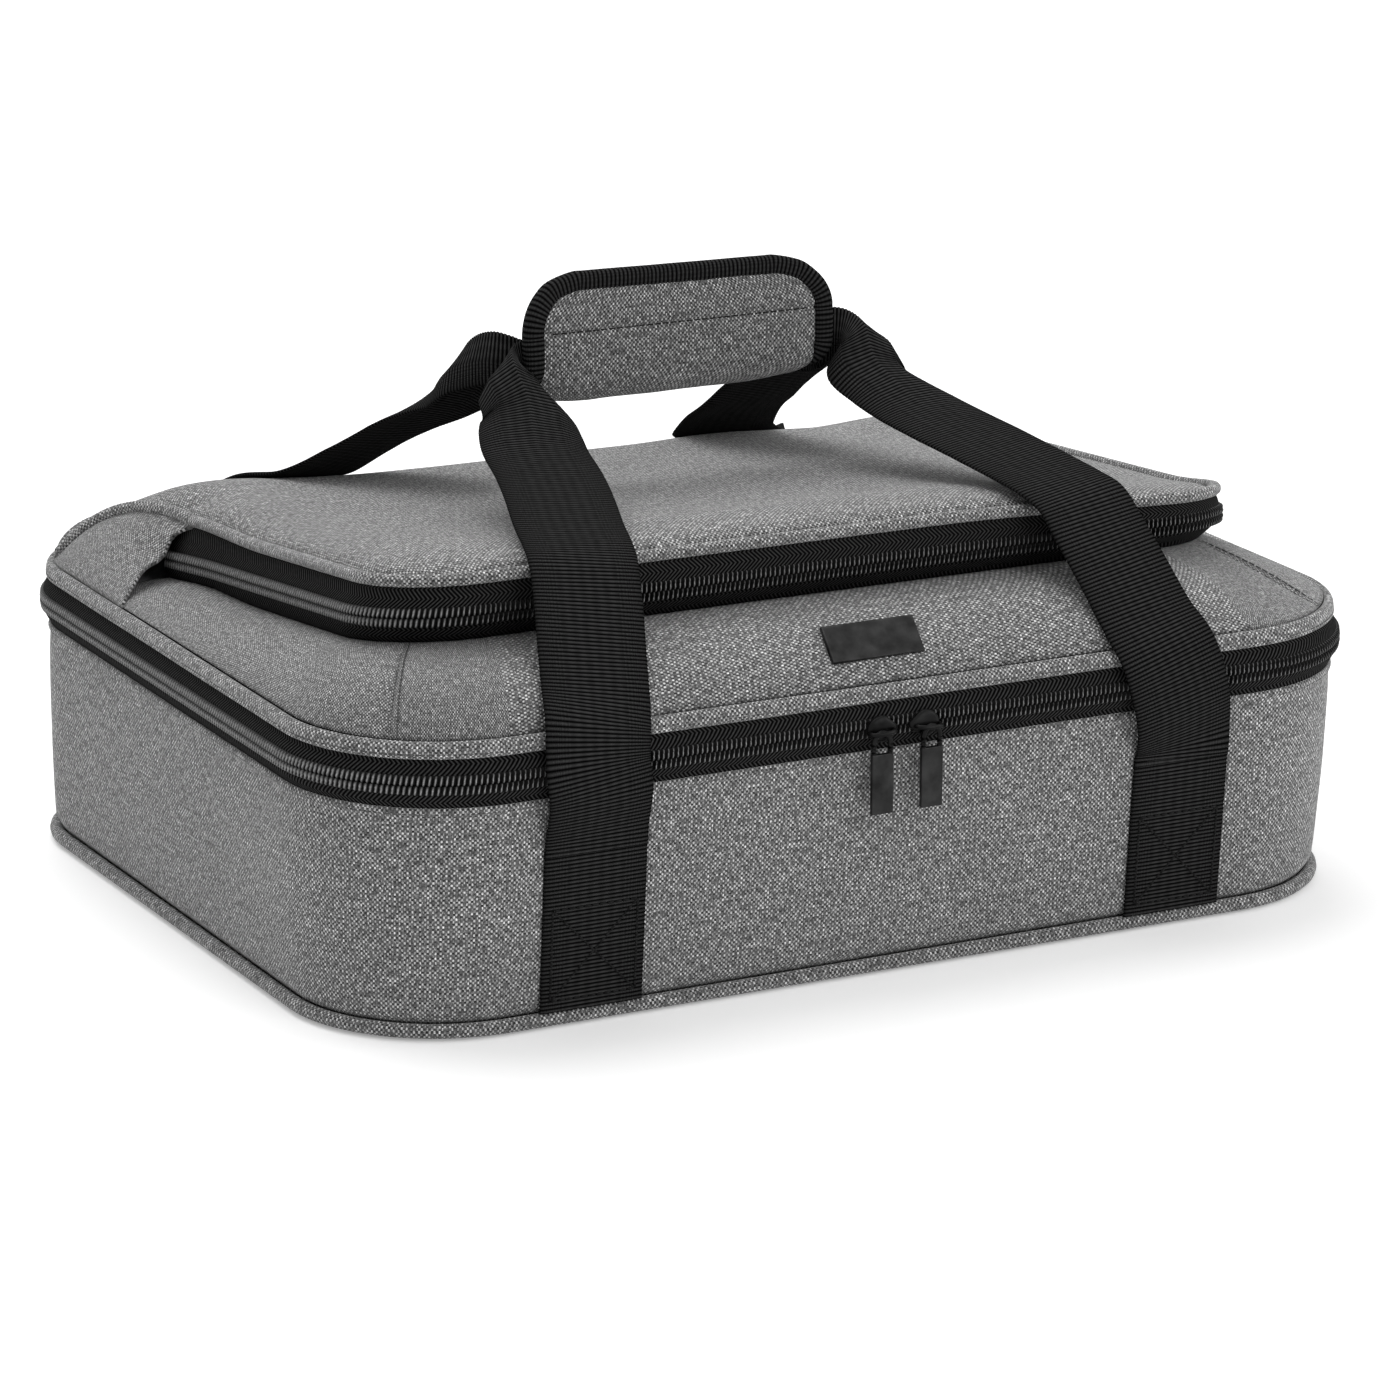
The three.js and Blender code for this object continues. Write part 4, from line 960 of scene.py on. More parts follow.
@dataclass(frozen=True)
class Sizes:
    """Sizes that several sub-assemblies share, as the part's solids have them."""

    length: float = 420.0
    depth: float = 324.0
    corner: float = 60.0
    floor_corner: float = 57.0
    lean_side: float = 3.0
    lean_front: float = 7.0
    lean_rear: float = 1.0
    rear_corner: float = 47.0
    cloth: float = 1.2
    lining: float = 0.6
    tape: float = 0.8
    gap: float = 0.3
    floor_seam: float = 5.0
    piping: float = 2.3
    cover_piping: float = 1.9
    piping_cloth: float = 0.4
    wall_top: float = 85.9
    zip_level: float = 95.5
    rim_bottom: float = 105.1
    rim_top: float = 109.9
    tape_shown: float = 9.6
    bulge: float = 2.2
    coil_half: float = 3.6
    coil_depth: float = 1.7
    coil_pitch: float = 1.9
    zip_end: float = 66.0
    fold_y: float = 80.0

    @property
    def half_depth(self) -> float:
        """From the middle to the front."""
        return self.depth / 2

    @property
    def top_plan(self) -> Plan:
        """The body's outline at the main zip."""
        half = self.length / 2
        return Plan(half, self.half_depth, self.half_depth, self.corner, half, self.rear_corner)

    @property
    def floor_plan(self) -> Plan:
        """The body's outline at the floor."""
        half = self.length / 2
        front, rear = self.half_depth - self.lean_front, self.half_depth - self.lean_rear
        return Plan(half - self.lean_side, front, rear, self.floor_corner, half, self.rear_corner)


SIZES = Sizes()
ZIP_START, ZIP_END = 120, 420


def whole_turn(plan: Plan) -> Line:
    """Walks once round an outline from its rear left corner.

    Args:
        plan: the outline.

    Returns:
        The line, which ends where it starts.
    """
    spots = walk(plan, 90, 540).spots
    first = spots[0]
    last = max(i for i, s in enumerate(spots) if math.hypot(s.x - first.x, s.y - first.y) < 1e-6)
    return Line(spots[: last + 1])


TOP_RING, FLOOR_RING = whole_turn(SIZES.top_plan), whole_turn(SIZES.floor_plan)


def wall_point(part: float, z: float, out: float = 0.0) -> Vector:
    """A point on the base wall.

    Args:
        part: how far round, from 0 to 1.
        z: the level.
        out: how far outside the wall.

    Returns:
        The point.
    """
    place = TOP_RING.place(part)
    low, high = FLOOR_RING.spot(place).at(z, out), TOP_RING.spot(place).at(z, out)
    return low.lerp(high, clamp(z / SIZES.wall_top))


def outwards(piece: Piece) -> None:
    """Turns the faces of a closed piece outwards.

    Args:
        piece: the piece.
    """
    mesh = bmesh.new()
    mesh.from_mesh(piece.data)
    bmesh.ops.recalc_face_normals(mesh, faces=mesh.faces)
    mesh.to_mesh(piece.data)
    mesh.free()


def disc(name: str, z: float, inset: float, crown: float, material: Material) -> Piece:
    """A flat sheet in the body's outline.

    Args:
        name: the piece's name.
        z: its level at the edge.
        inset: how far inside the body's outline its edge is.
        crown: how far its middle stands above its edge.
        material: its finish.

    Returns:
        The sheet, with its face up.
    """

    def place(u: float, v: float) -> Vector:
        """A point on the sheet."""
        edge = wall_point(u, z, -inset)
        reach = 1 - 0.985 * v
        spot = Vector((edge.x * reach, edge.y * reach, z))
        dimple = 0.35 * ripple(spot, 34.0, 5.0) * (1 - reach**4)
        return spot + Vector((0, 0, crown * (1 - reach**2) + dimple))

    mesh = bmesh.new()
    bmesh.ops.create_grid(mesh, x_segments=160, y_segments=26, size=0.5)
    layer = mesh.loops.layers.uv.new("cloth")
    for vertex in mesh.verts:
        vertex.co = place(vertex.co.x + 0.5, vertex.co.y + 0.5) * MM
    bmesh.ops.remove_doubles(mesh, verts=mesh.verts, dist=2e-6)
    hole = [edge for edge in mesh.edges if edge.is_boundary and edge.calc_length() < 2 * MM]
    bmesh.ops.holes_fill(mesh, edges=hole, sides=0)
    for face in mesh.faces:
        for loop in face.loops:
            loop[layer].uv = loop.vert.co.xy
    return new_piece(name, mesh, material)


@dataclass
class Base:
    """The box that holds the dish: wall, floor, lining and the lower half of the main zip."""

    wear: Wardrobe
    columns: int = 330
    foam: float = 5.0
    floor_level: float = 14.0
    mouth: float = 85.6
    fullness: float = 1.3
    tuck: float = 2.1
    seam_drop: float = 1.4
    body: str = "base"

    def build(self) -> None:
        """Builds every piece of the base."""
        self.wall()
        self.floor()
        self.linings()
        self.stitching()

    def wall(self) -> None:
        """The grey cloth wall, slightly full between its seams, and the piping at its foot."""
        low, high = SIZES.floor_seam + 0.6, SIZES.wall_top + 0.9

        def place(u: float, v: float) -> Vector:
            """A point on the wall."""
            z = mix(low, high, v)
            full = self.fullness * math.sin(math.pi * clamp(v * 1.05)) ** 0.7
            hem = 0.9 * ease((v - 0.955) / 0.02) - 0.5 * ease((v - 0.985) / 0.015)
            tuck = -self.tuck * (1 - ease(v / 0.05))
            spot = wall_point(u, z)
            wander = 0.55 * ripple(spot, 70.0, 3.1) + 0.28 * ripple(spot, 26.0, 9.7)
            return wall_point(u, z, full + hem + tuck + wander * math.sin(math.pi * v))

        cut = (TOP_RING.length, high - low)
        wall = mapped("base_wall_cloth", place, (self.columns, 40), cut, self.wear.cloth, closed=True)
        settle(thicken(wall, SIZES.cloth), self.body, ["base_side_wall", "base_side_foam"])

        def cord(u: float, v: float) -> Vector:
            """A point on the piping."""
            radius = SIZES.piping + SIZES.piping_cloth
            wide, tall = rounded(v)
            return wall_point(u, SIZES.floor_seam - 1.5 + radius * tall, 0.2 + radius * wide)

        cut = (TOP_RING.length, TURN * SIZES.piping)
        piping = mapped("base_floor_cord", cord, (self.columns, 12), cut, self.wear.cloth, closed=True)
        outwards(piping)
        settle(piping, self.body, ["base_floor_piping"])

    def floor(self) -> None:
        """The cloth floor that the carrier stands on."""
        panel = disc("base_floor_cloth", 0.25, 2.2, 0.0, self.wear.cloth)
        wall = panel.modifiers.new("thickness", "SOLIDIFY")
        wall.thickness = 2.0 * MM
        wall.offset = 1.0
        nodes = ["base_floor_panel", "base_stiffener_board", "base_floor_foam"]
        settle(panel, self.body, nodes)

        def edge(u: float, v: float) -> Vector:
            """A point on the rounded edge."""
            angle = math.pi * (v - 0.5)
            return wall_point(u, 1.45 + 1.4 * math.sin(angle), -2.4 + 1.5 * math.cos(angle))

        cut = (TOP_RING.length, 5.0)
        rim = mapped("base_floor_hem", edge, (self.columns, 6), cut, self.wear.cloth, closed=True)
        settle(thicken(rim, 0.5), self.body)

    def linings(self) -> None:
        """The wipe-clean inside, and the tape that binds the mouth."""
        inside = SIZES.cloth + self.foam + 2 * SIZES.gap
        top = self.mouth - 1.6

        def lining(u: float, v: float) -> Vector:
            """A point on the lining."""
            z = mix(self.floor_level - 0.6, top, v)
            spot = wall_point(1 - u, z, -inside - 0.5)
            puff = 0.6 * math.sin(math.pi * v) + 0.5 * ripple(spot, 30.0, 1.7)
            return wall_point(1 - u, z, -inside - 0.6 - puff * math.sin(math.pi * v))

        cut = (TOP_RING.length, top - self.floor_level)
        side = mapped("base_wall_lining", lining, (200, 20), cut, self.wear.lining, closed=True)
        settle(thicken(side, SIZES.lining), self.body, ["base_side_lining"])
        bottom = disc("base_floor_lining_sheet", self.floor_level - 0.5, inside + 1.3, 0.3, self.wear.lining)
        settle(thicken(bottom, SIZES.lining), self.body, ["base_floor_lining"])

        def binding(u: float, v: float) -> Vector:
            """A point on the tape."""
            angle = math.pi * v
            middle = -(SIZES.cloth + SIZES.gap + self.foam / 2 + 0.4)
            reach = self.foam / 2 + 0.4
            out = middle + reach * math.cos(angle)
            return wall_point(u, self.mouth - 1.9 + 1.8 * math.sin(angle) ** 0.6, out)

        cut = (TOP_RING.length, 9.0)
        tape = mapped("base_mouth_tape", binding, (200, 8), cut, self.wear.binding, closed=True)
        settle(tape, self.body, ["base_mouth_binding"])

    def stitching(self) -> None:
        """The row of stitches that holds the zip to the wall."""
        level, count, row = SIZES.wall_top - self.seam_drop, 240, []
        for part in (step / count for step in range(count + 1)):
            out = wall_point(part, level) - wall_point(part, level, -1.0)
            row.append((wall_point(part, level, 0.75), out))
        settle(stitches("base_hem_stitches", [row], self.wear.grey_thread), self.body)


def coil_section(across: float, tooth: float, up: int) -> tuple[float, float]:
    """A place on half a coil chain's section.

    Args:
        across: from 0 at the chain's middle to 1 at the tape.
        tooth: 1 on a turn of the coil, 0 between two.
        up: 1 above the middle and -1 below it.

    Returns:
        How far it is above the chain's middle, and how far out.
    """
    away = mix(0.05, SIZES.coil_half, across)
    crown = math.sin(math.pi * clamp(0.12 + 0.88 * across)) ** 0.45 if across < 0.97 else 0.0
    groove = 0.3 * math.exp(-(((across - 0.52) / 0.13) ** 2))
    depth = SIZES.coil_depth * crown * (1 - groove) * mix(0.3, 1.0, tooth)
    return up * away, 0.1 + depth


STEPS_IN_TURN, STEPS_ACROSS = 6, 7


def half_chain(
    name: str, line: Line, up: int, seat: Callable[[Spot, float, float], Vector], material: Material
) -> Piece:
    """Half of a coil chain.

    Args:
        name: the piece's first words.
        line: the chain's line.
        up: 1 above the chain's middle and -1 below it.
        seat: the point at a spot of the line, so far above the chain's middle and so far out.
        material: its finish.

    Returns:
        The object.
    """
    turns = round(line.length / SIZES.coil_pitch)
    shift = 0.25 * up

    def place(u: float, v: float) -> Vector:
        """A point on the chain."""
        tooth = 0.5 + 0.5 * math.cos(TURN * (u * turns + shift))
        return seat(line.along(u), *coil_section(v if up > 0 else 1 - v, tooth, up))

    cut = (turns * SIZES.coil_pitch, SIZES.coil_half)
    steps, start = (turns * STEPS_IN_TURN, STEPS_ACROSS), shift * SIZES.coil_pitch
    return mapped(f"{name}_coil_turns", place, steps, cut, material, start=start)


@dataclass
class MainZip:
    """Both halves of the zip round the body, and the cloth hinge behind."""

    wear: Wardrobe
    columns: int = 420
    bend: float = 4.0

    def build(self) -> None:
        """Builds the tapes, the coils and the hinge strip."""
        line = walk(SIZES.top_plan, ZIP_START, ZIP_END)

        def seat(spot: Spot, level: float, out: float) -> Vector:
            """A point on the chain."""
            return spot.at(SIZES.zip_level + level, SIZES.bulge + out)

        for body, up in (("base", -1), ("lid", 1)):
            self.tape(line, body, up)
            coil = half_chain(body, line, up, seat, self.wear.coil)
            settle(coil, body, [f"{body}_zip_coil"])
        self.hinge()

    def tape(self, line: Line, body: str, up: int) -> None:
        """One tape: flat by its sewn edge, and standing out under the chain.

        Args:
            line: the zip's line round the body.
            body: what it rides on.
            up: 1 above the chain and -1 below it.
        """

        def place(u: float, v: float) -> Vector:
            """A point on the tape."""
            across = v if up > 0 else 1 - v
            away = mix(SIZES.gap, SIZES.tape_shown + 0.4, across)
            lift = SIZES.bulge * (1 - ease((away - SIZES.coil_half - 0.4) / 5.0))
            spot = line.along(u)
            wave = 0.14 * ripple(spot.at(away * 6), 16.0, 2.2 + up)
            end = 3.0 * (ease((0.012 - u) / 0.012) + ease((u - 0.988) / 0.012))
            return spot.at(SIZES.zip_level + up * away, lift + wave - end)

        cut = (line.length, SIZES.tape_shown)
        tape = mapped(f"{body}_tape_weave", place, (self.columns, 12), cut, self.wear.tape)
        settle(thicken(tape, SIZES.tape), body, [f"{body}_zip_tape"])

    def hinge(self) -> None:
        """The cloth strip behind, at the hinge between the base and the lid."""
        line = walk(SIZES.top_plan, ZIP_END - 2, ZIP_START + 362)
        low, high = SIZES.wall_top - 0.5, SIZES.rim_bottom + 0.5

        def place(u: float, v: float) -> Vector:
            """A point on the strip."""
            return line.along(u).at(mix(low, high, v), 0.25 - 0.9 * math.sin(math.pi * v) ** 2)

        cut = (line.length, high - low)
        strip = mapped("rear_hinge_strip", place, (160, 20), cut, self.wear.cloth)
        thicken(strip, 1.0)
        start = Vector((0, SIZES.half_depth, SIZES.zip_level - self.bend))
        end = Vector((0, SIZES.half_depth, SIZES.zip_level + self.bend))
        nodes = ["base_rear_hinge_tape", "lid_rear_hinge_tape"]
        settle(strip, "base", nodes, ("lid", start, end))


@dataclass
class Pocket:
    """Lines and levels of the pocket on the lid."""

    inset_side: float = 33.0
    inset_front: float = 43.5
    corner: float = 38.0
    zip_rise: float = 32.6
    fall: float = math.tan(math.radians(6.5))
    sag: float = 6.0
    foot_drop: float = 11.5
    tuck_side: float = 3.0
    tuck_front: float = 10.0
    edge_rise: float = 11.0
    edge_tuck: float = 3.0
    chain_depth: float = 2.4
    tail: float = 12.0
    flare: float = 5.0
    front_lift: float = 0.75
    right_drop: float = 3.5
    left_rise: float = 2.2

    def __post_init__(self) -> None:
        """Lays out the three lines round the pocket's front."""
        half, front = SIZES.length / 2 - self.inset_side, SIZES.half_depth - self.inset_front
        self.half, self.front = half, front
        self.edge_half = half - self.edge_tuck
        self.chain_front = SIZES.rim_top + self.zip_rise

        def plan(half_x: float, reach: float, radius: float) -> Plan:
            """An outline that reaches back to the zip's ends."""
            return Plan(half_x, reach, SIZES.zip_end, radius, half_x, radius)

        tail_end = SIZES.zip_end + self.tail
        self.chain_line = front_line(plan(half, front, self.corner), tail_end)
        foot = plan(half - self.tuck_side, front - self.tuck_front, self.corner)
        self.foot_line = front_line(foot, tail_end)
        edge = plan(self.edge_half, front, self.corner - self.edge_tuck)
        self.edge_line = front_line(edge, SIZES.zip_end)
        self.tape_line = front_line(edge, tail_end)
        self.foot_front = front - self.tuck_front

    def sag_at(self, x: float, y: float) -> float:
        """How much lower the pocket sits towards the right.

        Args:
            x: the place along the length.
            y: the place along the depth.

        Returns:
            The drop in millimetres.
        """
        across = clamp((x + self.half) / (2 * self.half))
        along = clamp((SIZES.fold_y - y) / (SIZES.fold_y + self.front))
        lifted = 1 - self.front_lift * (1 - ease((y + self.front) / 60))
        return self.sag * across * across * along * lifted

    def flare_at(self, y: float) -> float:
        """How far the zip's ends spread under the gussets."""
        return self.flare * ease((y - 36) / 44)

    def chain_level(self, x: float, y: float) -> float:
        """The chain's level."""
        return self.chain_front - self.fall * (y + self.front) - self.sag_at(x, y)

    def foot_level(self, x: float, y: float) -> float:
        """The level of the zip's lower edge."""
        rest = SIZES.rim_top + SIZES.cloth + 2 * SIZES.gap
        along = (y + self.foot_front) / (SIZES.zip_end + self.foot_front)
        return mix(self.chain_front - self.foot_drop, rest, along) - self.sag_at(x, y) / 2

    def edge_level(self, x: float, y: float) -> float:
        """The level of the top panel's edge."""
        lean = self.left_rise * ease((-x - 60) / 100) * ease(y / 60) - self.right_drop * ease((x - 40) / 130)
        return self.chain_level(x, y) + self.edge_rise + lean


@dataclass
class Lid:
    """The lid below the pocket: rim, skirts, side gussets and the divider sheet."""

    wear: Wardrobe
    pocket: Pocket
    rim_band: float = 1.6
    rear_lift: float = 2.5
    landing: float = 24.0
    skirt_rear: float = 75.0
    divider_foot: float = 103.9
    divider_head: float = 109.2
    divider_inset: float = 5.6
    body: str = "lid"

    def __post_init__(self) -> None:
        """Lays out the skirt's foot and the piping at the sides."""
        self.skirt_plan = SIZES.top_plan.inset(self.rim_band + 2 * SIZES.gap)
        self.skirt_line = front_line(self.skirt_plan, self.skirt_rear)
        lift = SIZES.gap + SIZES.cover_piping
        corner = walk(self.skirt_plan, 360, 360 + self.landing).spots[-1]
        end = corner.at(SIZES.rim_top + lift, -SIZES.cover_piping)
        leans = {
            Side.LEFT: ((3.5, 36.4, 1.8), (-13.7, -9.9, 19.9)),
            Side.RIGHT: ((4.0, 38.0, -0.5), (-12.0, -12.0, 13.0)),
        }
        self.side_controls = {}
        for side, (leave, reach) in leans.items():
            level = self.pocket.edge_level(side.value * self.pocket.edge_half, SIZES.zip_end) + lift
            start = Vector((self.pocket.edge_half, SIZES.zip_end + 0.6, level))
            self.side_controls[side] = (start, start + Vector(leave), end + Vector(reach), end)

    def side_line(self, part: float, side: Side) -> Vector:
        """A point on a side's piping, from the fold down to the rim, as on the right."""
        return bezier(self.side_controls[side], part)

    def build(self) -> None:
        """Builds every piece of the lid."""
        self.rim()
        self.skirts()
        for side in Side:
            self.gusset(side)
        self.divider()

    def rim(self) -> None:
        """The topstitched band above the main zip."""
        low, high = SIZES.rim_bottom, SIZES.rim_top
        rows = ((0.3, low - 0.9), (1.25, low - 0.2), (1.15, low + 1.3), (1.0, low + 3.0))
        rows += ((0.3, high - 0.4), (-1.2, high + 0.35), (-2.6, high - 0.3))
        profile = [Vector((*row, 0)) for row in rows]
        track = Track(profile, samples=60)

        def place(u: float, v: float) -> Vector:
            """A point on the band."""
            spot = track.at(v)
            ring = TOP_RING.along(u)
            return ring.at(spot.y + 0.15 * ripple(ring.at(0), 60.0, 8.8), spot.x)

        cut = (TOP_RING.length, track.length)
        band = mapped("lid_rim_cloth", place, (330, 14), cut, self.wear.cloth, closed=True)
        settle(thicken(band, 0.9), self.body, ["lid_rim_band"])
        spots = [TOP_RING.along(step / 240) for step in range(241)]
        row = [(spot.at(low + 0.9, 1.22), Vector((spot.nx, spot.ny, 0))) for spot in spots]
        settle(stitches("lid_rim_stitches", [row], self.wear.grey_thread), self.body)

    def skirt_point(self, place: float, v: float) -> Vector:
        """A point on the skirt between the rim and the pocket's zip.

        Args:
            place: a place on the skirt's line, counted in spots.
            v: from 0 at the rim to 1 at the zip.

        Returns:
            The point.
        """
        pocket = self.pocket
        spot, head = self.skirt_line.spot(place), pocket.foot_line.spot(place)
        foot = spot.at(SIZES.rim_top + 0.2, -0.6)
        top = head.at(self.head_level(head), pocket.flare_at(head.y))
        span = top - foot
        flat = ease((spot.x - 110) / 70) * (1 - ease((spot.y + 60) / 60))
        in_near, in_far = mix(0.08, 0.3, flat), mix(0.31, 0.64, flat)
        near = foot + Vector((span.x * in_near, span.y * in_near, span.z * mix(0.66, 0.44, flat)))
        far = foot + Vector((span.x * in_far, span.y * in_far, span.z * mix(1.14, 0.8, flat)))
        return bezier((foot, near, far, top), v)

    def head_level(self, head: Spot) -> float:
        """The level of the pocket zip's lower edge, which rises again by the gussets."""
        return self.pocket.foot_level(head.x, head.y) + self.rear_lift * ease(head.y / SIZES.zip_end)

    def skirts(self) -> None:
        """The sloping panels, pulled in at the corner seams."""
        line = self.skirt_line
        last = len(line.spots) - 1
        seam = SIDE_STEPS + 9.5
        spans = {"left": (0.0, seam), "front": (seam, last - seam), "right": (last - seam, float(last))}
        for name, (low, high) in spans.items():
            ends = (0.0 if name == "left" else 1.0, 0.0 if name == "right" else 1.0)

            def place(u: float, v: float, low: float = low, high: float = high, ends: tuple = ends) -> Vector:
                """A point on one panel."""
                spot_place = mix(low, high, u)
                point = self.skirt_point(spot_place, v)
                spot = line.spot(spot_place)
                run = (high - low) * 4.5
                pull = ends[0] * math.exp(-u * run / 2.2) + ends[1] * math.exp(-(1 - u) * run / 2.2)
                body = math.sin(math.pi * v)
                wander = 0.9 * ripple(point, 62.0, 4.4) + 0.35 * ripple(point, 22.0, 6.1)
                out = wander * body - 1.8 * pull * body
                return point + Vector((spot.nx * out * 0.6, spot.ny * out * 0.6, out * 0.8))

            count = 170 if name == "front" else 110
            length = line.reach[round(high)] - line.reach[round(low)]
            panel = mapped(f"lid_{name}_skirt_cloth", place, (count, 30), (length, 56.0), self.wear.cloth)
            settle(thicken(panel, SIZES.cloth), self.body, [f"lid_{name}_skirt"])
        places, out = (seam + 0.5, last - seam + 0.5), Vector((0.3, -0.6, 0.8))
        rows = [[(self.skirt_point(place, v / 20), out) for v in range(21)] for place in places]
        sewn = stitches("lid_corner_stitches", rows, self.wear.grey_thread, pitch=3.0, width=0.45)
        settle(sewn, self.body)

    def gusset(self, side: Side) -> None:
        """A side piece that covers the zip's end, and the piping over it.

        Args:
            side: which side.
        """
        sign = side.value
        corner = walk(self.skirt_plan, 360, 360 + self.landing - 3)
        rear_foot = [spot.at(SIZES.rim_top + 0.3, 0.2) for spot in corner.spots]
        ahead = [Vector((rear_foot[0].x, y, rear_foot[0].z)) for y in (55.0, 80.0)]
        foot = Track([*ahead, *rear_foot], samples=200)
        starts: dict[float, float] = {}

        def ruled(u: float, v: float) -> Vector:
            """A point between the foot and the piping."""
            head = self.side_line(mix(-0.045, 0.985, u), side) + Vector((0.2, 0, -1.2))
            return foot.at(u).lerp(head, v)

        def edge(v: float) -> float:
            """Where the front edge cuts a row."""
            if v not in starts:
                goal = 55 + 9 * v + 8.5 * math.sin(math.pi * v * v)
                low, high = 0.0, 0.6
                for _ in range(20):
                    middle = (low + high) / 2
                    low, high = (middle, high) if ruled(middle, v).y < goal else (low, middle)
                starts[v] = low
            return starts[v]

        def place(u: float, v: float) -> Vector:
            """A point on the piece."""
            point = ruled(mix(edge(v), 1.0, u), v)
            body = 1 - ease((u - 0.6) / 0.4)
            bulge = 2.4 * math.sin(math.pi * v**0.6) + 1.6 * math.sin(math.pi * v) * ease(u / 0.35)
            dip = 4.5 * math.exp(-(((v - 0.62) / 0.16) ** 2) - 6 * u)
            out = bulge * body - dip
            return self.mirror(point + Vector((0.62 * out, 0, 0.78 * out)), sign)

        def turned(u: float, v: float) -> Vector:
            """The same point with the cloth's face outwards."""
            return place(u if sign > 0 else 1 - u, v)

        cut = (112.0, 46.0)
        piece = mapped(f"lid_{side.word}_gusset_cloth", turned, (70, 40), cut, self.wear.cloth)
        settle(thicken(piece, 1.3), self.body, [f"lid_{side.word}_gusset"])
        points = [self.mirror(self.side_line(i / 24, side), sign) for i in range(25)]
        radius = SIZES.cover_piping + SIZES.piping_cloth
        cord = tube(f"lid_{side.word}_cord", points, radius, self.wear.cloth, 90)
        settle(cord, self.body, [f"lid_{side.word}_piping"])

    @staticmethod
    def mirror(point: Vector, sign: int) -> Vector:
        """A point of the right side, or its twin on the left."""
        return Vector((sign * point.x, point.y, point.z))

    def divider(self) -> None:
        """The insulated sheet between dish and pocket, and the tape round its edge."""
        under = disc("lid_under_lining", self.divider_foot, self.divider_inset, -0.6, self.wear.lining)
        under.data.flip_normals()
        nodes = ["lid_divider_lower_lining", "lid_divider_foam"]
        settle(thicken(under, SIZES.lining), self.body, nodes)
        over = disc("lid_pocket_floor", self.divider_head, self.divider_inset, 0.3, self.wear.lining)
        settle(thicken(over, SIZES.lining), self.body, ["lid_divider_upper_lining"])

        def binding(u: float, v: float) -> Vector:
            """A point on the tape."""
            wide, high = rounded(v, 0.5, 0.5)
            return TOP_RING.along(u).at(106.7 + 2.8 * high, -3.6 + 1.7 * wide)

        cut = (TOP_RING.length, 18.0)
        tape = mapped("lid_mouth_tape", binding, (200, 12), cut, self.wear.binding, closed=True)
        outwards(tape)
        settle(tape, self.body, ["lid_mouth_binding"])


@dataclass
class PocketZip:
    """The zip round the pocket's front and sides."""

    wear: Wardrobe
    pocket: Pocket
    lid: Lid
    columns: int = 360
    parting_reach: tuple[float, float] = (-14.0, 6.0)

    def __post_init__(self) -> None:
        """Finds where the upper half leaves the cover and stays with the lid."""
        level = self.pocket.chain_level(0, SIZES.zip_end)
        self.parting = ("lid", *(Vector((0, SIZES.zip_end + shift, level)) for shift in self.parting_reach))

    def build(self) -> None:
        """Builds both tapes and both halves of the chain."""
        self.tapes()
        self.coils()

    def tapes(self) -> None:
        """The lower tape down to the skirt, and the upper tape up to the piping."""
        pocket = self.pocket
        line = pocket.chain_line

        def lower(u: float, v: float) -> Vector:
            """A point on the lower tape."""
            place = line.place(u)
            foot, chain = pocket.foot_line.spot(place), line.spot(place)
            flare = pocket.flare_at(chain.y)
            bottom = foot.at(self.lid.head_level(foot) - 0.4, 0.6 + flare)
            top = chain.at(pocket.chain_level(chain.x, chain.y) - SIZES.gap, 0.3 + flare / 2)
            bow = 1.3 * math.sin(math.pi * v)
            return bottom.lerp(top, v) + Vector((chain.nx * bow, chain.ny * bow, 0))

        def upper(u: float, v: float) -> Vector:
            """A point on the upper tape."""
            place = line.place(u)
            chain, edge = line.spot(place), pocket.tape_line.spot(place)
            flare = pocket.flare_at(chain.y)
            bottom = chain.at(pocket.chain_level(chain.x, chain.y) + SIZES.gap, 0.3 + flare / 2)
            top = edge.at(pocket.edge_level(edge.x, edge.y) + 0.8, -0.2)
            bow = 0.7 * math.sin(math.pi * v)
            return bottom.lerp(top, v) + Vector((chain.nx * bow, chain.ny * bow, 0))

        cut = (line.length, 12.0)
        sheet = mapped("pocket_lower_tape_weave", lower, (self.columns, 10), cut, self.wear.tape)
        settle(thicken(sheet, SIZES.tape), "lid", ["pocket_lower_zip_tape"])
        sheet = mapped("pocket_upper_tape_weave", upper, (self.columns, 10), cut, self.wear.tape)
        nodes = ["pocket_upper_zip_tape"]
        settle(thicken(sheet, SIZES.tape), "pocket_cover", nodes, self.parting)

    def coils(self) -> None:
        """Both halves of the chain."""
        pocket = self.pocket

        def seat(spot: Spot, level: float, out: float) -> Vector:
            """A point on the chain."""
            height = pocket.chain_level(spot.x, spot.y) + level
            return spot.at(height, out + 0.35 + pocket.flare_at(spot.y) / 2)

        coil = half_chain("pocket_lower", pocket.chain_line, -1, seat, self.wear.coil)
        settle(coil, "lid", ["pocket_lower_zip_coil"])
        coil = half_chain("pocket_upper", pocket.chain_line, 1, seat, self.wear.coil)
        settle(coil, "pocket_cover", ["pocket_upper_zip_coil"], self.parting)


def tube(
    name: str, points: Sequence[Vector], radius: float, material: Material, steps: int, sides: int = 12
) -> Piece:
    """A round cord along points.

    Args:
        name: the piece's name.
        points: the cord's line in millimetres.
        radius: its radius.
        material: its finish.
        steps: rings along it.
        sides: faces round it.

    Returns:
        The object.
    """
    track = Track(points)

    def place(u: float, v: float) -> Vector:
        """A point on the cord."""
        along = track.heading(u)
        side = Vector((0, 0, 1)).cross(along).normalized()
        up = along.cross(side)
        wide, high = rounded(v)
        return track.at(u) + (side * wide + up * high) * radius

    cut = (track.length, TURN * radius)
    return mapped(name, place, (steps, sides), cut, material, closed=True, solid=True)


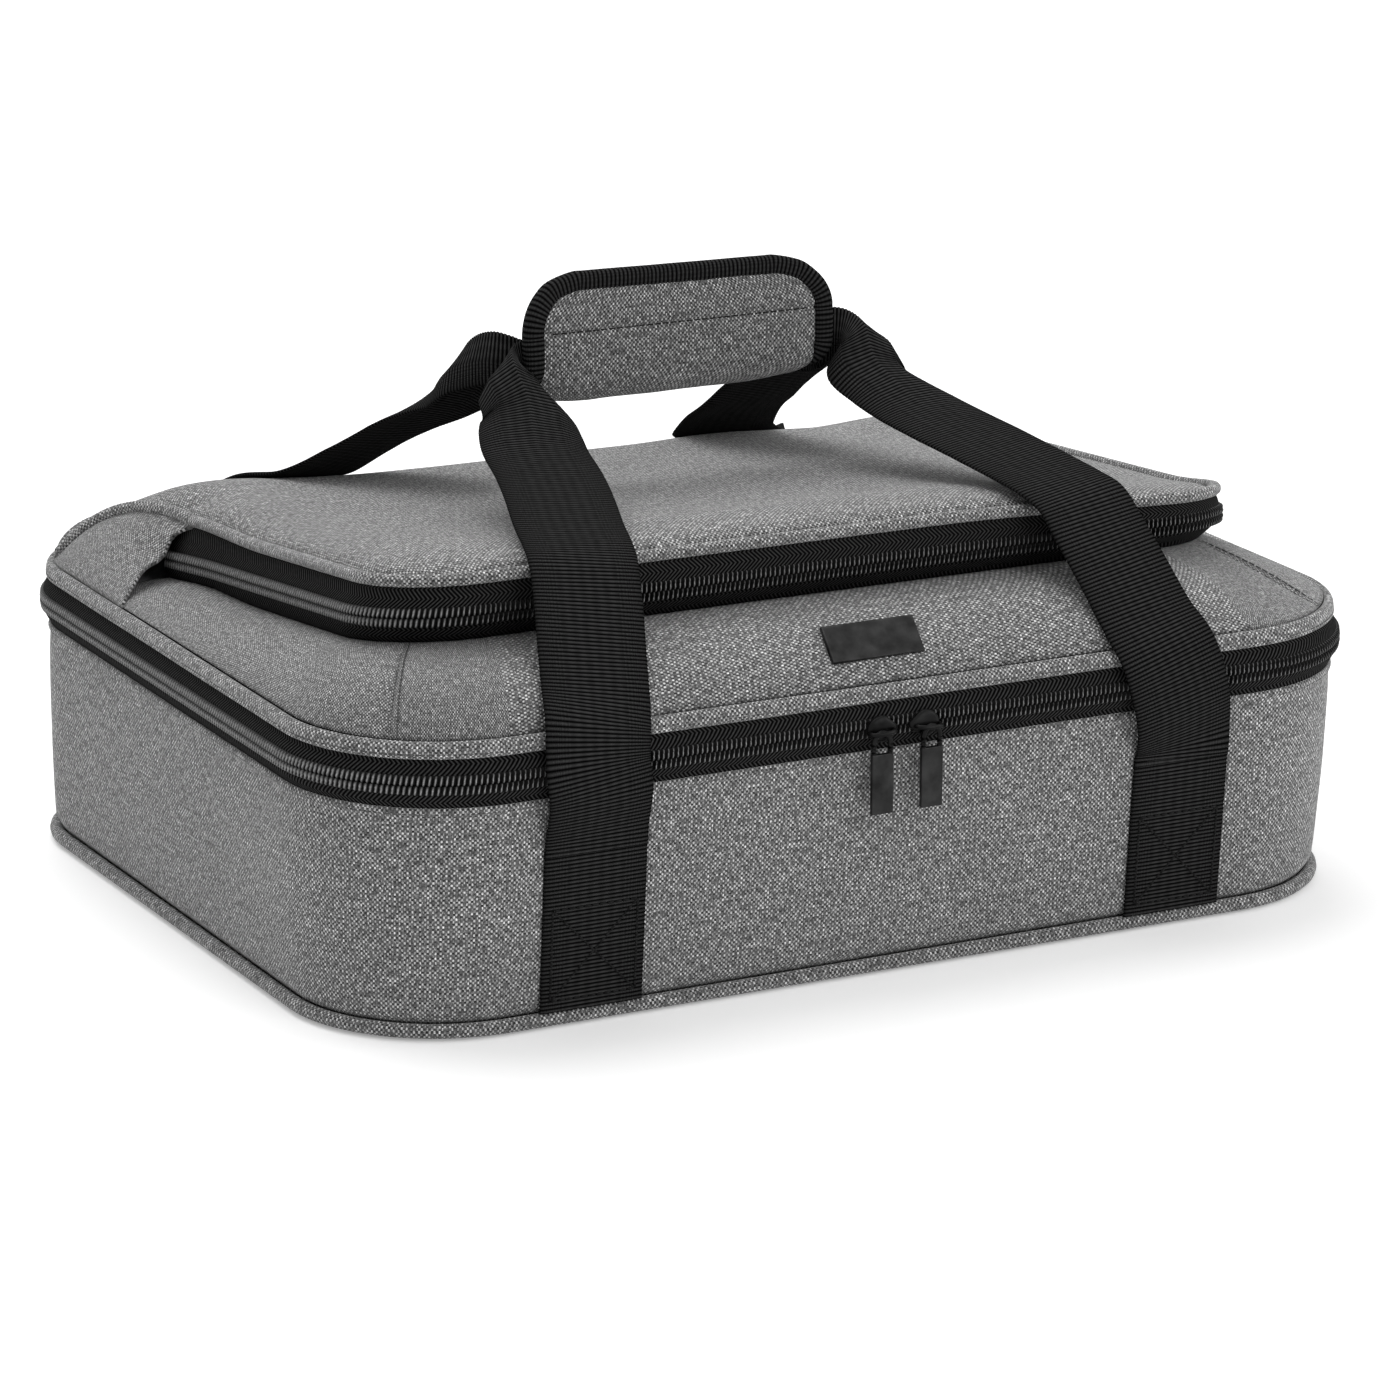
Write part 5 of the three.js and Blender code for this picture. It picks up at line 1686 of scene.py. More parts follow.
@dataclass
class TopPanel:
    """The padded top: the pocket's cover in front of the fold and the lid's rear panel behind it."""

    wear: Wardrobe
    pocket: Pocket
    lid: Lid
    crown: float = 8.0
    shoulder: float = 30.0
    rear_shoulder: float = 20.0
    fall_power: float = 1.35
    puff: float = 5.0
    rear_foot: float = 111.0
    bend: float = 7.0
    inside_drop: float = 6.2

    def __post_init__(self) -> None:
        """Measures the panel's front and rear."""
        self.inset = SIZES.cover_piping + 0.1
        self.front = self.pocket.front - self.inset
        self.half = self.pocket.edge_half - self.inset
        self.radius = self.pocket.corner - self.pocket.edge_tuck - self.inset
        self.lift = SIZES.gap + SIZES.cover_piping
        self.rear = self.lid.skirt_plan.rear
        self.fold_height = self.pocket.edge_level(0, SIZES.fold_y) + self.lift + self.crown
        self.side = {}
        for side in Side:
            samples = [self.lid.side_line(i / 80, side) for i in range(81)]
            self.side[side] = [(p.y, p.x - self.inset - 0.2, p.z) for p in samples]
        self.corner = [(s.y, s.x, self.rear_foot) for s in walk(self.lid.skirt_plan, 360 + 24, 450, 40).spots]

    def edge_at(self, y: float, side: Side) -> tuple[float, float]:
        """How far out the panel reaches, and its edge's level, at a place along the depth.

        Args:
            y: the place.
            side: the left or the right edge.

        Returns:
            Half its width there, and the level of its edge behind the zip.
        """
        if y < self.radius - self.front:
            from_corner = self.radius - (y + self.front)
            return self.half - self.radius + math.sqrt(max(self.radius**2 - from_corner**2, 0)), 0.0
        if y < SIZES.zip_end + 0.6:
            return self.half, 0.0
        rows = self.side[side] if y < self.side[side][-1][0] else self.corner
        for low, high in zip(rows, rows[1:]):
            if low[0] <= y <= high[0]:
                part = (y - low[0]) / max(high[0] - low[0], 1e-6)
                return mix(low[1], high[1], part), mix(low[2], high[2], part)
        return rows[-1][1], rows[-1][2]

    def arch(self, distance: float, behind: float = 0.0) -> float:
        """How far the cloth has risen at a distance from its edge, from 0 to 1."""
        part = clamp(distance / mix(self.shoulder, self.rear_shoulder, behind))
        return math.sqrt(1 - (1 - part) ** 2)

    def rear_profile(self, y: float) -> float:
        """The middle's level behind the fold."""
        part = clamp((y - SIZES.fold_y) / (self.rear - SIZES.fold_y))
        return self.rear_foot + (self.fold_height - self.rear_foot) * (1 - part**self.fall_power)

    def point(self, across: float, y: float) -> Vector:
        """A point on the panel.

        Args:
            across: from -1 at the left edge to 1 at the right edge.
            y: the place along the depth.

        Returns:
            The point.
        """
        half, rear_edge = self.edge_at(y, Side.LEFT if across < 0 else Side.RIGHT)
        x = across * half
        behind = ease((y - SIZES.zip_end) / 12.0)
        side_arch = self.arch((1 - abs(across)) * half, ease((y - SIZES.zip_end + 20) / 60.0))
        ahead = self.pocket.edge_level(x, min(y, SIZES.fold_y)) + self.lift
        ahead += self.crown * (1 - 0.55 * ease((x - 60) / 100)) * side_arch * self.arch(y + self.front)
        uneven = (ahead - self.fold_height) * clamp((self.rear - y) / (self.rear - SIZES.fold_y))
        rear = rear_edge + max(self.rear_profile(y) + uneven - rear_edge, 0.0) * side_arch
        if y < SIZES.fold_y:
            rear = rear_edge + max(ahead - rear_edge, 0.0) * side_arch if rear_edge else ahead
        spot = Vector((x, y, mix(ahead, rear, behind)))
        wander = 1.0 * ripple(spot, 80.0, 7.3) + 0.35 * ripple(spot, 30.0, 2.9)
        full = self.puff * math.exp(-(((abs(x) - 150) / 34) ** 2) - ((y - 112) / 30) ** 2)
        lift = (wander + full) * side_arch * self.arch(y + self.front) * clamp((self.rear - y) / 30)
        groove = 1.5 * math.exp(-min((1 - abs(across)) * half, y + self.front) / 1.5)
        return spot + Vector((0, 0, lift - groove))

    def height(self, x: float, y: float) -> float:
        """The level of the panel's outside over a place."""
        half = self.edge_at(y, Side.LEFT if x < 0 else Side.RIGHT)[0]
        return self.point(math.copysign(clamp(abs(x) / half), x), y).z

    def build(self) -> None:
        """Builds the panel, its piping and the cover's inside."""
        rows = 110
        corner_part = 0.22

        def along(v: float) -> float:
            """The place along the depth of a row."""
            if v < corner_part:
                angle = math.pi / 2 * v / corner_part
                return -self.front + self.radius * (1 - math.cos(angle))
            return mix(self.radius - self.front, self.rear - 0.3, (v - corner_part) / (1 - corner_part))

        def place(u: float, v: float) -> Vector:
            """A point on the panel."""
            across = signed_power(math.sin(math.pi / 2 * (2 * u - 1)), 0.85)
            return self.point(across, along(v))

        cut = (2 * self.half, self.front + self.rear + 12)
        columns = 110
        panel = mapped("top_panel_cloth", place, (columns, rows), cut, self.wear.cloth)
        self.plain_weave(panel, columns)
        thicken(panel, SIZES.cloth)
        start = Vector((0, SIZES.fold_y - self.bend, self.fold_height))
        end = Vector((0, SIZES.fold_y + self.bend, self.fold_height))
        nodes = ["pocket_cover_panel", "pocket_cover_foam", "lid_rear_panel"]
        settle(panel, "pocket_cover", nodes, ("lid", start, end))

        def inside(u: float, v: float) -> Vector:
            """A point on the lining."""
            y = mix(-self.front + 2.5, SIZES.fold_y - 0.6, v)
            full = self.edge_at(y, Side.LEFT)[0]
            across = (2 * u - 1) * (full - 2.0) / full
            return self.point(-across, y) - Vector((0, 0, self.inside_drop))

        cut = (2 * self.half, self.front + SIZES.fold_y)
        lining = mapped("pocket_cover_inside", inside, (40, 40), cut, self.wear.lining)
        settle(thicken(lining, SIZES.lining), "pocket_cover", ["pocket_cover_lining"])
        line = self.pocket.edge_line
        spots = [line.along(i / 120) for i in range(121)]
        points = [s.at(self.pocket.edge_level(s.x, s.y) + self.lift) for s in spots]
        radius = SIZES.cover_piping + SIZES.piping_cloth
        cord = tube("pocket_cover_cord", points, radius, self.wear.cloth, 300)
        settle(cord, "pocket_cover", ["pocket_cover_piping"])

    @staticmethod
    def plain_weave(panel: Piece, columns: int) -> None:
        """Lays the weave by the lengths of the cloth's own threads from its middle.

        Args:
            panel: the panel, a grid in order.
            columns: how many faces a row has.
        """
        count, middle = columns + 1, columns // 2
        spots = [vertex.co for vertex in panel.data.vertices]
        places: list[tuple[float, float]] = []
        climb = 0.0
        for low in range(0, len(spots), count):
            row = spots[low: low + count]
            if low:
                climb += (row[middle] - spots[low - count + middle]).length
            reach = lengths(row)
            places += [(length - reach[middle], climb) for length in reach]
        layer = panel.data.uv_layers[0]
        for loop in panel.data.loops:
            layer.data[loop.index].uv = places[loop.vertex_index]


@dataclass(frozen=True)
class Stop:
    """A stop on a strap's route: where, how its face leans, its fold, the fold's width and its tilt."""

    at: Vector
    lean: float
    fold: float = 0.0
    crease: float = 1.0
    tilt: float = 0.0


@dataclass
class Handles:
    """The webbing loops: sewn ends, free straps and the runs inside the grip wrap."""

    wear: Wardrobe
    pocket: Pocket
    top: TopPanel
    width: float = 40.0
    thick: float = 1.8
    spacing: float = 238.0
    foot: float = 9.0
    sewn_top: float = 66.0
    bend_low: float = 2.0
    bend_high: float = 16.0
    clear: float = 1.8
    crease_radius: float = 1.25
    rear_hump: float = 8.0
    front_hump: float = 4.0
    grip_half: float = 64.5
    grip_shift: float = -5.0
    grip_y: float = 3.0
    grip_rise: float = 206.5
    rib: float = 1.5

    def __post_init__(self) -> None:
        """Works out where the straps go."""
        self.strap_x = self.spacing / 2
        self.rear_lanes = {
            Side.LEFT: (119, 119, 119.5, 120.5, 121.3, 121.6, 121,
                        118.4, 112.5, 102.7, 92.4, 84.8, 79.4, 79.2),
            Side.RIGHT: (119, 119, 117.5, 113.8, 109.3, 102, 89,
                         74.5, 62.5, 57.5, 56.3, 57.4, 59.5, 63),
        }
        self.shut = self.crease_radius * math.pi / self.width
        self.pass_zip = SIZES.bulge + SIZES.gap + SIZES.coil_depth + self.clear
        self.web_out = 2 * SIZES.gap + self.crease_radius + self.thick / 2

    def build(self) -> None:
        """Builds both loops."""
        for end in End:
            for side in Side:
                self.anchor(end, side)
                self.riser(end, side)
            self.run(end)

    def wall_reach(self, end: End, z: float) -> float:
        """How far out the wall is at a level."""
        low = SIZES.floor_plan.front if end is End.FRONT else SIZES.floor_plan.rear
        return mix(low, SIZES.half_depth, z / SIZES.wall_top)

    def lane(self, part: float, slip: float) -> float:
        """A strap's place along the length, from its sewn end to the grip."""
        return mix(self.strap_x, self.grip_half, part) + slip

    def lower_stops(self, end: End, slip: float) -> list[Stop]:
        """Stops from the sewn end up past the main zip.

        Args:
            end: the front or the rear.
            slip: how far this side has shifted by the rim.

        Returns:
            The stops for the right side.
        """
        face = end.value
        sewn = self.wall_reach(end, self.sewn_top) + SIZES.gap + self.thick / 2
        reach = SIZES.half_depth + self.pass_zip
        rows = (
            (0.0, 0.0, sewn + 0.7, self.sewn_top - 1.0, 0),
            (0.0, 0.0, sewn + 1.6, self.sewn_top + 6, 0),
            (0.02, 0.35, reach, SIZES.wall_top, 0),
            (0.04, 0.8, reach, SIZES.zip_level + SIZES.coil_half, 4),
            (0.08, 1.0, SIZES.half_depth + 0.6 + 1.6 * self.clear, SIZES.rim_top, 20),
        )
        return [Stop(Vector((self.lane(p, s * slip), face * y, z)), lean) for p, s, y, z, lean in rows]

    def front_stops(self, slip: float) -> list[Stop]:
        """Stops of a front strap from the rim to the grip.

        Args:
            slip: how far this side has shifted.

        Returns:
            The stops for the right side.
        """
        edge_top = self.pocket.chain_front + self.pocket.edge_rise + 2 * self.top.lift
        rise = self.grip_rise - edge_top
        reach = self.pocket.front - self.clear
        half = SIZES.half_depth
        low = (
            (0.14, 5 - half, SIZES.rim_top + 10, 45),
            (0.2, 14.5 - half, SIZES.rim_top + 22.5, 48),
            (0.28, 26.5 - half, SIZES.rim_top + 38, 52),
            (0.33, -self.pocket.front - 8, edge_top, 62),
        )
        high = (
            (0.38, 0.0, 0.08, 78, 0, 1),
            (0.45, 0.13, 0.15, 78, 0, 1),
            (0.56, 0.3, 0.24, 78, 0, 1),
            (0.66, 0.47, 0.33, 78, 6, 1),
            (0.74, 0.64, 0.44, 78, 32, 1),
            (0.8, 0.73, 0.55, 80, 60, 0.95),
            (0.86, 0.82, 0.7, 84, 98, 0.8),
        )
        stops = [Stop(Vector((self.lane(p, slip), y, z)), lean) for p, y, z, lean in low]
        for part, back, up, lean, fold, crease in high:
            spot = Vector((self.lane(part, slip), -reach * (1 - back), edge_top + rise * up))
            stops.append(Stop(spot, lean, fold, crease))
        return stops

    def rear_stops(self, side: Side) -> list[Stop]:
        """Stops of a rear strap from its sewn end, over the back of the lid, to the grip.

        Args:
            side: the left or the right.

        Returns:
            The stops as on the right side.
        """
        top, lanes = self.top, self.rear_lanes[side]
        stops = []
        for x, stop in zip(lanes, self.lower_stops(End.REAR, 0.0)):
            stops.append(Stop(Vector((x, stop.at.y, stop.at.z)), stop.lean))
        for x, along, roll in zip(lanes[5:], (0.93, 0.7, 0.42, 0.15), (10.0, 0.0, 0.0, 0.0)):
            y = mix(SIZES.fold_y, top.rear, along)
            slope = top.rear_profile(y + 1) - top.rear_profile(y)
            away = Vector((-slope, 1)).normalized() * 1.1 * self.clear
            inner, middle, outer = [top.height(side.value * (x + aside), y) for aside in (-15.0, 0.0, 15.0)]
            level = max(middle, (inner + outer) / 2) + away.y
            lean = math.degrees(math.atan2(1, -slope)) - roll
            stops.append(Stop(Vector((x, y + away.x, level)), lean, tilt=(inner - outer) / 30))
        forms = {
            Side.RIGHT: ((0.92, 0.17, 66, 0, 1), (0.74, 0.29, 62, 0, 1), (0.6, 0.42, 60, 0, 1),
                         (0.46, 0.56, 64, 14, 1), (0.35, 0.7, 74, 70, 0.9)),
            Side.LEFT: ((0.92, 0.21, 70, 0, 1), (0.74, 0.38, 66, 8, 1), (0.6, 0.52, 62, 40, 1),
                        (0.46, 0.7, 70, 100, 0.75), (0.34, 0.92, 78, 155, 0.35)),
        }
        rise = self.grip_rise - top.fold_height
        for x, (back, up, *form) in zip(lanes[9:], forms[side]):
            stops.append(Stop(Vector((x, SIZES.fold_y * back, top.fold_height + rise * up)), *form))
        return stops

    def grip_stops(self, end: End, grip_end: float, hump: float) -> list[Stop]:
        """Stops where a strap turns into the grip wrap, folded in half.

        Args:
            end: the front or the rear.
            grip_end: the grip's end along the length.
            hump: how far the strap arches up before it goes in.

        Returns:
            The stops for the right side.
        """
        face = end.value
        web_y = self.grip_y + face * self.web_out
        turn = ((130, 5.0), (172, 2.0)) if end is End.FRONT else ((174, 1.5), (180, 1.0))
        rows = (
            (8.5, 11.5, 8.5 - 1.2 * hump, 86, *turn[0]),
            (5.5, 4.0, 3.0 - 0.75 * hump, 90, *turn[1]),
            (1.0, 0.3, 0.3 - 0.25 * hump, 90, 180, 1.0),
            (-3.0, 0.0, 0.0, 90, 180, 1.0),
            (-6.0, 0.0, 0.0, 90, 180, 1.0),
        )
        stops = []
        for x, y, drop, lean, fold, crease in rows:
            spot = Vector((grip_end + x, web_y + face * y, self.grip_rise - drop))
            stops.append(Stop(spot, lean, fold, crease * self.shut))
        return stops

    @staticmethod
    def softened(stops: Sequence[Stop], share: float) -> list[float]:
        """A strap's lean, fold, crease and tilt, evened out along its route.

        Args:
            stops: the route.
            share: a place, counted in stops.

        Returns:
            The lean, the fold, the crease and the tilt.
        """
        total = [0.0, 0.0, 0.0, 0.0]
        window = [-0.6, -0.3, 0.0, 0.3, 0.6]
        for shift in window:
            place = min(max(share + shift, 0.0), len(stops) - 1.0)
            low = min(int(place), len(stops) - 2)
            a, b, part = stops[low], stops[low + 1], place - low
            for index, key in enumerate(("lean", "fold", "crease", "tilt")):
                total[index] += mix(getattr(a, key), getattr(b, key), part) / len(window)
        return total

    def strap(self, name: str, stops: Sequence[Stop], end: End, mirrored: bool) -> Piece:
        """Weaves a strap along its stops.

        Args:
            name: the piece's name.
            stops: its route.
            end: the front or the rear, which its face looks to.
            mirrored: whether it is on the left.

        Returns:
            The object.
        """
        track = Track([stop.at for stop in stops])
        face = end.value
        ribs = round(track.length / self.rib)
        cache: dict[float, tuple] = {}

        def section(v: float) -> tuple[Vector, Vector, Vector, float, float]:
            """The middle, the directions and the fold of a row."""
            if v not in cache:
                share = track.share(v) * (len(stops) - 1)
                turn, fold, crease, tilt = self.softened(stops, share)
                lean = math.radians(turn)
                along = track.heading(v)
                normal = Vector((tilt, face * math.cos(lean), math.sin(lean)))
                normal = (normal - along * normal.dot(along) * (1 - fold / 180)).normalized()
                cache[v] = (track.at(v), along.cross(normal).normalized(), normal, max(fold, 1.0), crease)
            return cache[v]

        def place(u: float, v: float) -> Vector:
            """A point on the webbing."""
            centre, across, normal, fold, crease = section(v)
            wide, high = rounded(u, 0.4, 0.3)
            half = math.radians(fold) / 2
            bent = min(abs(wide), crease)
            straight = abs(wide) - bent
            turn = half * bent / crease
            sideways = crease / half * math.sin(turn) + straight * math.cos(turn)
            down = crease / half * (1 - math.cos(turn)) + straight * math.sin(turn)
            sign = math.copysign(1, wide)
            face_way = normal * math.cos(turn) + across * sign * math.sin(turn)
            rib = abs(math.sin(math.pi * v * ribs))
            selvedge = 1 - 0.25 * ease((abs(wide) - 0.9) / 0.06)
            thick = self.thick / 2 * (0.72 + 0.34 * rib * selvedge)
            edge = 1 + 0.006 * math.cos(TURN * v * ribs)
            reach = self.width / 2
            point = centre + across * (sign * sideways * reach * edge) - normal * (down * reach)
            point = point + face_way * (high * thick)
            return Vector((-point.x, point.y, point.z)) if mirrored else point

        cut = (2 * self.width, ribs * self.rib)
        return mapped(name, place, (28, ribs * 5), cut, self.wear.webbing, closed=True, solid=True)

    def riser(self, end: End, side: Side) -> None:
        """One free strap from its sewn end to the grip.

        Args:
            end: the front or the rear.
            side: the left or the right.
        """
        slip = side.value * self.grip_shift
        free = self.rear_stops(side)
        if end is End.FRONT:
            free = [*self.lower_stops(end, slip), *self.front_stops(slip)]
        humps = {(End.REAR, Side.LEFT): self.rear_hump, (End.REAR, Side.RIGHT): 0.0}
        hump = humps.get((end, side), self.front_hump)
        stops = [*free, *self.grip_stops(end, self.grip_half + slip, hump)]
        name = f"{end.word}_{side.word}_riser"
        piece = self.strap(f"{end.word}_{side.word}_strap", stops, end, side is Side.LEFT)
        y = end.value * (self.wall_reach(end, self.sewn_top) + 1)
        start = Vector((0, y, self.sewn_top - self.bend_low))
        finish = Vector((0, y, self.sewn_top + self.bend_high))
        settle(piece, "base", [name], (f"{end.word}_handle", start, finish))

    def anchor(self, end: End, side: Side) -> None:
        """One sewn end with its box of stitches.

        Args:
            end: the front or the rear.
            side: the left or the right.
        """
        face, x = end.value, side.value * self.strap_x
        out = SIZES.gap + self.thick / 2 + 0.55
        stops = [
            Stop(Vector((x, face * (self.wall_reach(end, z) + out), z)), 0)
            for z in (self.foot - 2.6, self.foot + 15, self.foot + 35, self.sewn_top + 1.5)
        ]
        piece = self.strap(f"{end.word}_{side.word}_sewn_end", stops, end, False)
        name = f"{end.word}_{side.word}_strap_anchor"
        settle(piece, "base", [name])
        lift = out + self.thick / 2 + 0.15

        def spot(across: float, z: float) -> tuple[Vector, Vector]:
            """A point of a seam, with its way out."""
            place = Vector((x + across, face * (self.wall_reach(end, z) + lift), z))
            return place, Vector((0, face, 0))

        low, high, half = 11.0, 45.0, 16.5
        corners = [(-half, low), (half, low), (half, high), (-half, high)]
        pairs = [*zip(corners, corners[1:] + corners[:1]), (corners[0], corners[2]), (corners[1], corners[3])]
        rows = []
        for (x0, z0), (x1, z1) in pairs:
            rows.append([spot(mix(x0, x1, i / 6), mix(z0, z1, i / 6)) for i in range(7)])
        name = f"{end.word}_{side.word}_box_stitches"
        sewn = stitches(name, rows, self.wear.black_thread, pitch=3.0, width=0.7)
        settle(sewn, "base")

    def run(self, end: End) -> None:
        """The folded run of a loop inside the grip wrap.

        Args:
            end: the front or the rear.
        """
        half = self.grip_half - 6.6
        web_y = self.grip_y + end.value * self.web_out
        stops = [
            Stop(Vector((self.grip_shift + half * part, web_y, self.grip_rise)), 90, 180, self.shut)
            for part in (-1, -0.33, 0.33, 1)
        ]
        piece = self.strap(f"{end.word}_grip_strap", stops, end, False)
        settle(piece, f"{end.word}_handle", [f"{end.word}_grip_run"])


@dataclass
class GripWrap:
    """The padded wrap round both loops: a front pad, a shorter flap behind, bindings and closures."""

    wear: Wardrobe
    handles: Handles
    foot: float = 183.2
    head: float = 231.2
    corner: float = 19.0
    pad: float = 2.4
    flap_inset: float = 9.0
    binding_width: float = 8.2
    binding_rib: float = 1.7
    binding_high: float = 3.1
    binding_sink: float = 1.4
    bend_front: float = 3.5
    bend_rear: float = 2.6

    def __post_init__(self) -> None:
        """Lays out the wrap's section: down the front, under the fold and up the flap."""
        y = self.handles.grip_y
        front = ((-5.6, 230.0), (-7.6, 224.5), (-9.3, 215), (-9.7, 206), (-9.6, 197))
        fold = ((-8.4, 190), (-5.0, 185.2), (0, 183.6), (5.0, 185.2), (8.4, 190))
        flap = ((9.4, 198), (9.4, 208), (8.0, 217), (6.2, 222.5))
        rows = (*front, *fold, *flap)
        self.section = Track([Vector((0, y + out, z)) for out, z in rows], samples=300)

    def half_at(self, v: float, side: Side) -> float:
        """Half the pad's length at a place round its section.

        Args:
            v: from 0 at the front's top edge to 1 at the flap's top edge.
            side: the left or the right end.

        Returns:
            The half length.
        """
        right = side is Side.RIGHT
        full = self.handles.grip_half - (6.0 if right else 2.5)
        point = self.section.at(v)
        behind = ease((v - 0.42) / 0.2)
        head = mix(self.head - 1.0, 223.0, behind)
        from_head = clamp((head - point.z) / self.corner)
        rounding = self.corner * (1 - math.sqrt(max(1 - (1 - from_head) ** 2, 0)))
        from_foot = clamp((point.z - self.foot) / 16.0)
        tuck = (15.0 if right else 3.0) * (1 - math.sqrt(max(1 - (1 - from_foot) ** 2, 0)))
        return full - rounding - tuck - self.flap_inset * behind

    def pad_point(self, u: float, v: float, out: float = 0.0) -> Vector:
        """A point on the pad's outside.

        Args:
            u: from 0 at the left end to 1 at the right.
            v: round the section.
            out: how far off the surface.

        Returns:
            The point.
        """
        along = self.section.heading(v)
        normal = Vector((0, -along.z, along.y)) * -1
        point = self.section.at(v)
        left, right = self.half_at(v, Side.LEFT), self.half_at(v, Side.RIGHT)
        edge = min(u, 1 - u) * (left + right)
        plump = 1.1 * ease(edge / 14.0) * ease(v / 0.1) * ease((1 - v) / 0.1)
        seam = 0.9 * math.exp(-(((v - 0.2) / 0.012) ** 2)) + 0.5 * math.exp(-(((v - 0.8) / 0.012) ** 2))
        tilt = (1.0 + 1.8 * u) * clamp((point.z - 205) / 20)
        spot = Vector((self.handles.grip_shift + mix(-left, right, u), point.y, point.z - tilt))
        wander = 0.5 * ripple(spot, 20.0, 5.5) + 0.25 * ripple(spot, 9.0, 1.4)
        return spot + normal * (plump + wander - seam + out)

    def build(self) -> None:
        """Builds the pad, the bindings, the closures and the topstitching."""
        cut = (2 * self.handles.grip_half, self.section.length)
        steps = (90, 110)
        pad = mapped("wrap_pad_cloth", lambda u, v: self.pad_point(1 - u, v), steps, cut, self.wear.pad_cloth)
        thicken(pad, self.pad)
        y = self.handles.grip_y
        start, end = Vector((0, y - self.bend_front, self.foot)), Vector((0, y + self.bend_rear, self.foot))
        nodes = ["wrap_front_pad", "wrap_rear_pad"]
        settle(pad, "front_handle", nodes, ("wrap_flap", start, end))
        self.binding("front", "front_handle", 0.0, 0.46)
        self.binding("rear", "wrap_flap", 1.0, 0.62)
        self.closures()
        places = [mix(0.06, 0.94, step / 60) for step in range(61)]
        row = [(self.pad_point(u, 0.2, 0.15), Vector((0, -1, 0))) for u in places]
        sewn = stitches("wrap_stitches", [row], self.wear.black_thread, pitch=3.2, width=0.5)
        settle(sewn, "front_handle")

    def binding(self, name: str, body: str, top: float, bottom: float) -> None:
        """The ribbed tape round one half of the wrap.

        Args:
            name: "front" or "rear".
            body: what it rides on.
            top: the half's top edge, round the section.
            bottom: where the tape ends near the fold.
        """
        shares = [mix(bottom, top, (i / 14) ** 0.9) for i in range(14)]
        route = [(0.0, v) for v in shares] + [(i / 30, top) for i in range(1, 30)]
        route += [(1.0, v) for v in reversed(shares)]
        points = [self.pad_point(u, v, -self.binding_sink) for u, v in route]
        track = Track(points, samples=600)
        outward = Vector((0, -1 if name == "front" else 1, 0))
        ribs = round(track.length / self.binding_rib)

        def place(u: float, v: float) -> Vector:
            """A point on the tape."""
            along = track.heading(v)
            normal = (outward - along * outward.dot(along)).normalized()
            side = along.cross(normal)
            taper = 0.35 + 0.65 * ease(min(v, 1 - v) / 0.06)
            rib = 1 + 0.07 * abs(math.sin(math.pi * v * ribs))
            wide, high = rounded(u, 0.75, 0.75)
            point = track.at(v) + side * (self.binding_width / 2 * taper * wide)
            return point + normal * (self.binding_high * taper * rib * high)

        cut = (self.binding_width * 2.6, ribs * self.binding_rib)
        steps, finish = (18, ribs * 4), self.wear.binding
        tape = mapped(f"wrap_{name}_tape", place, steps, cut, finish, closed=True, solid=True)
        settle(tape, body, [f"wrap_{name}_binding"])

    def closures(self) -> None:
        """The hook strip on the flap and the loop strip on the front pad."""
        for node, body in (("wrap_loop_strip", "front_handle"), ("wrap_hook_strip", "wrap_flap")):
            low, high = (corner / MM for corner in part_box(node))

            def place(u: float, v: float, low: Vector = low, high: Vector = high) -> Vector:
                """A point on the strip."""
                wide, tall = rounded(u, 0.3, 0.3)
                middle, half = (low + high) / 2, (high - low) / 2
                nap = 0.12 * ripple(Vector((v * 90, wide * 8, tall * 8)), 1.5, 3.3)
                y, z = middle.y + (half.y - 0.2 + nap) * wide * 0.9, middle.z + half.z * tall
                return Vector((mix(low.x, high.x, v), y, z))

            cut, finish = (32.0, high.x - low.x), self.wear.binding
            strip = mapped(f"{node}_nap", place, (28, 60), cut, finish, closed=True, solid=True)
            settle(strip, body, [node])


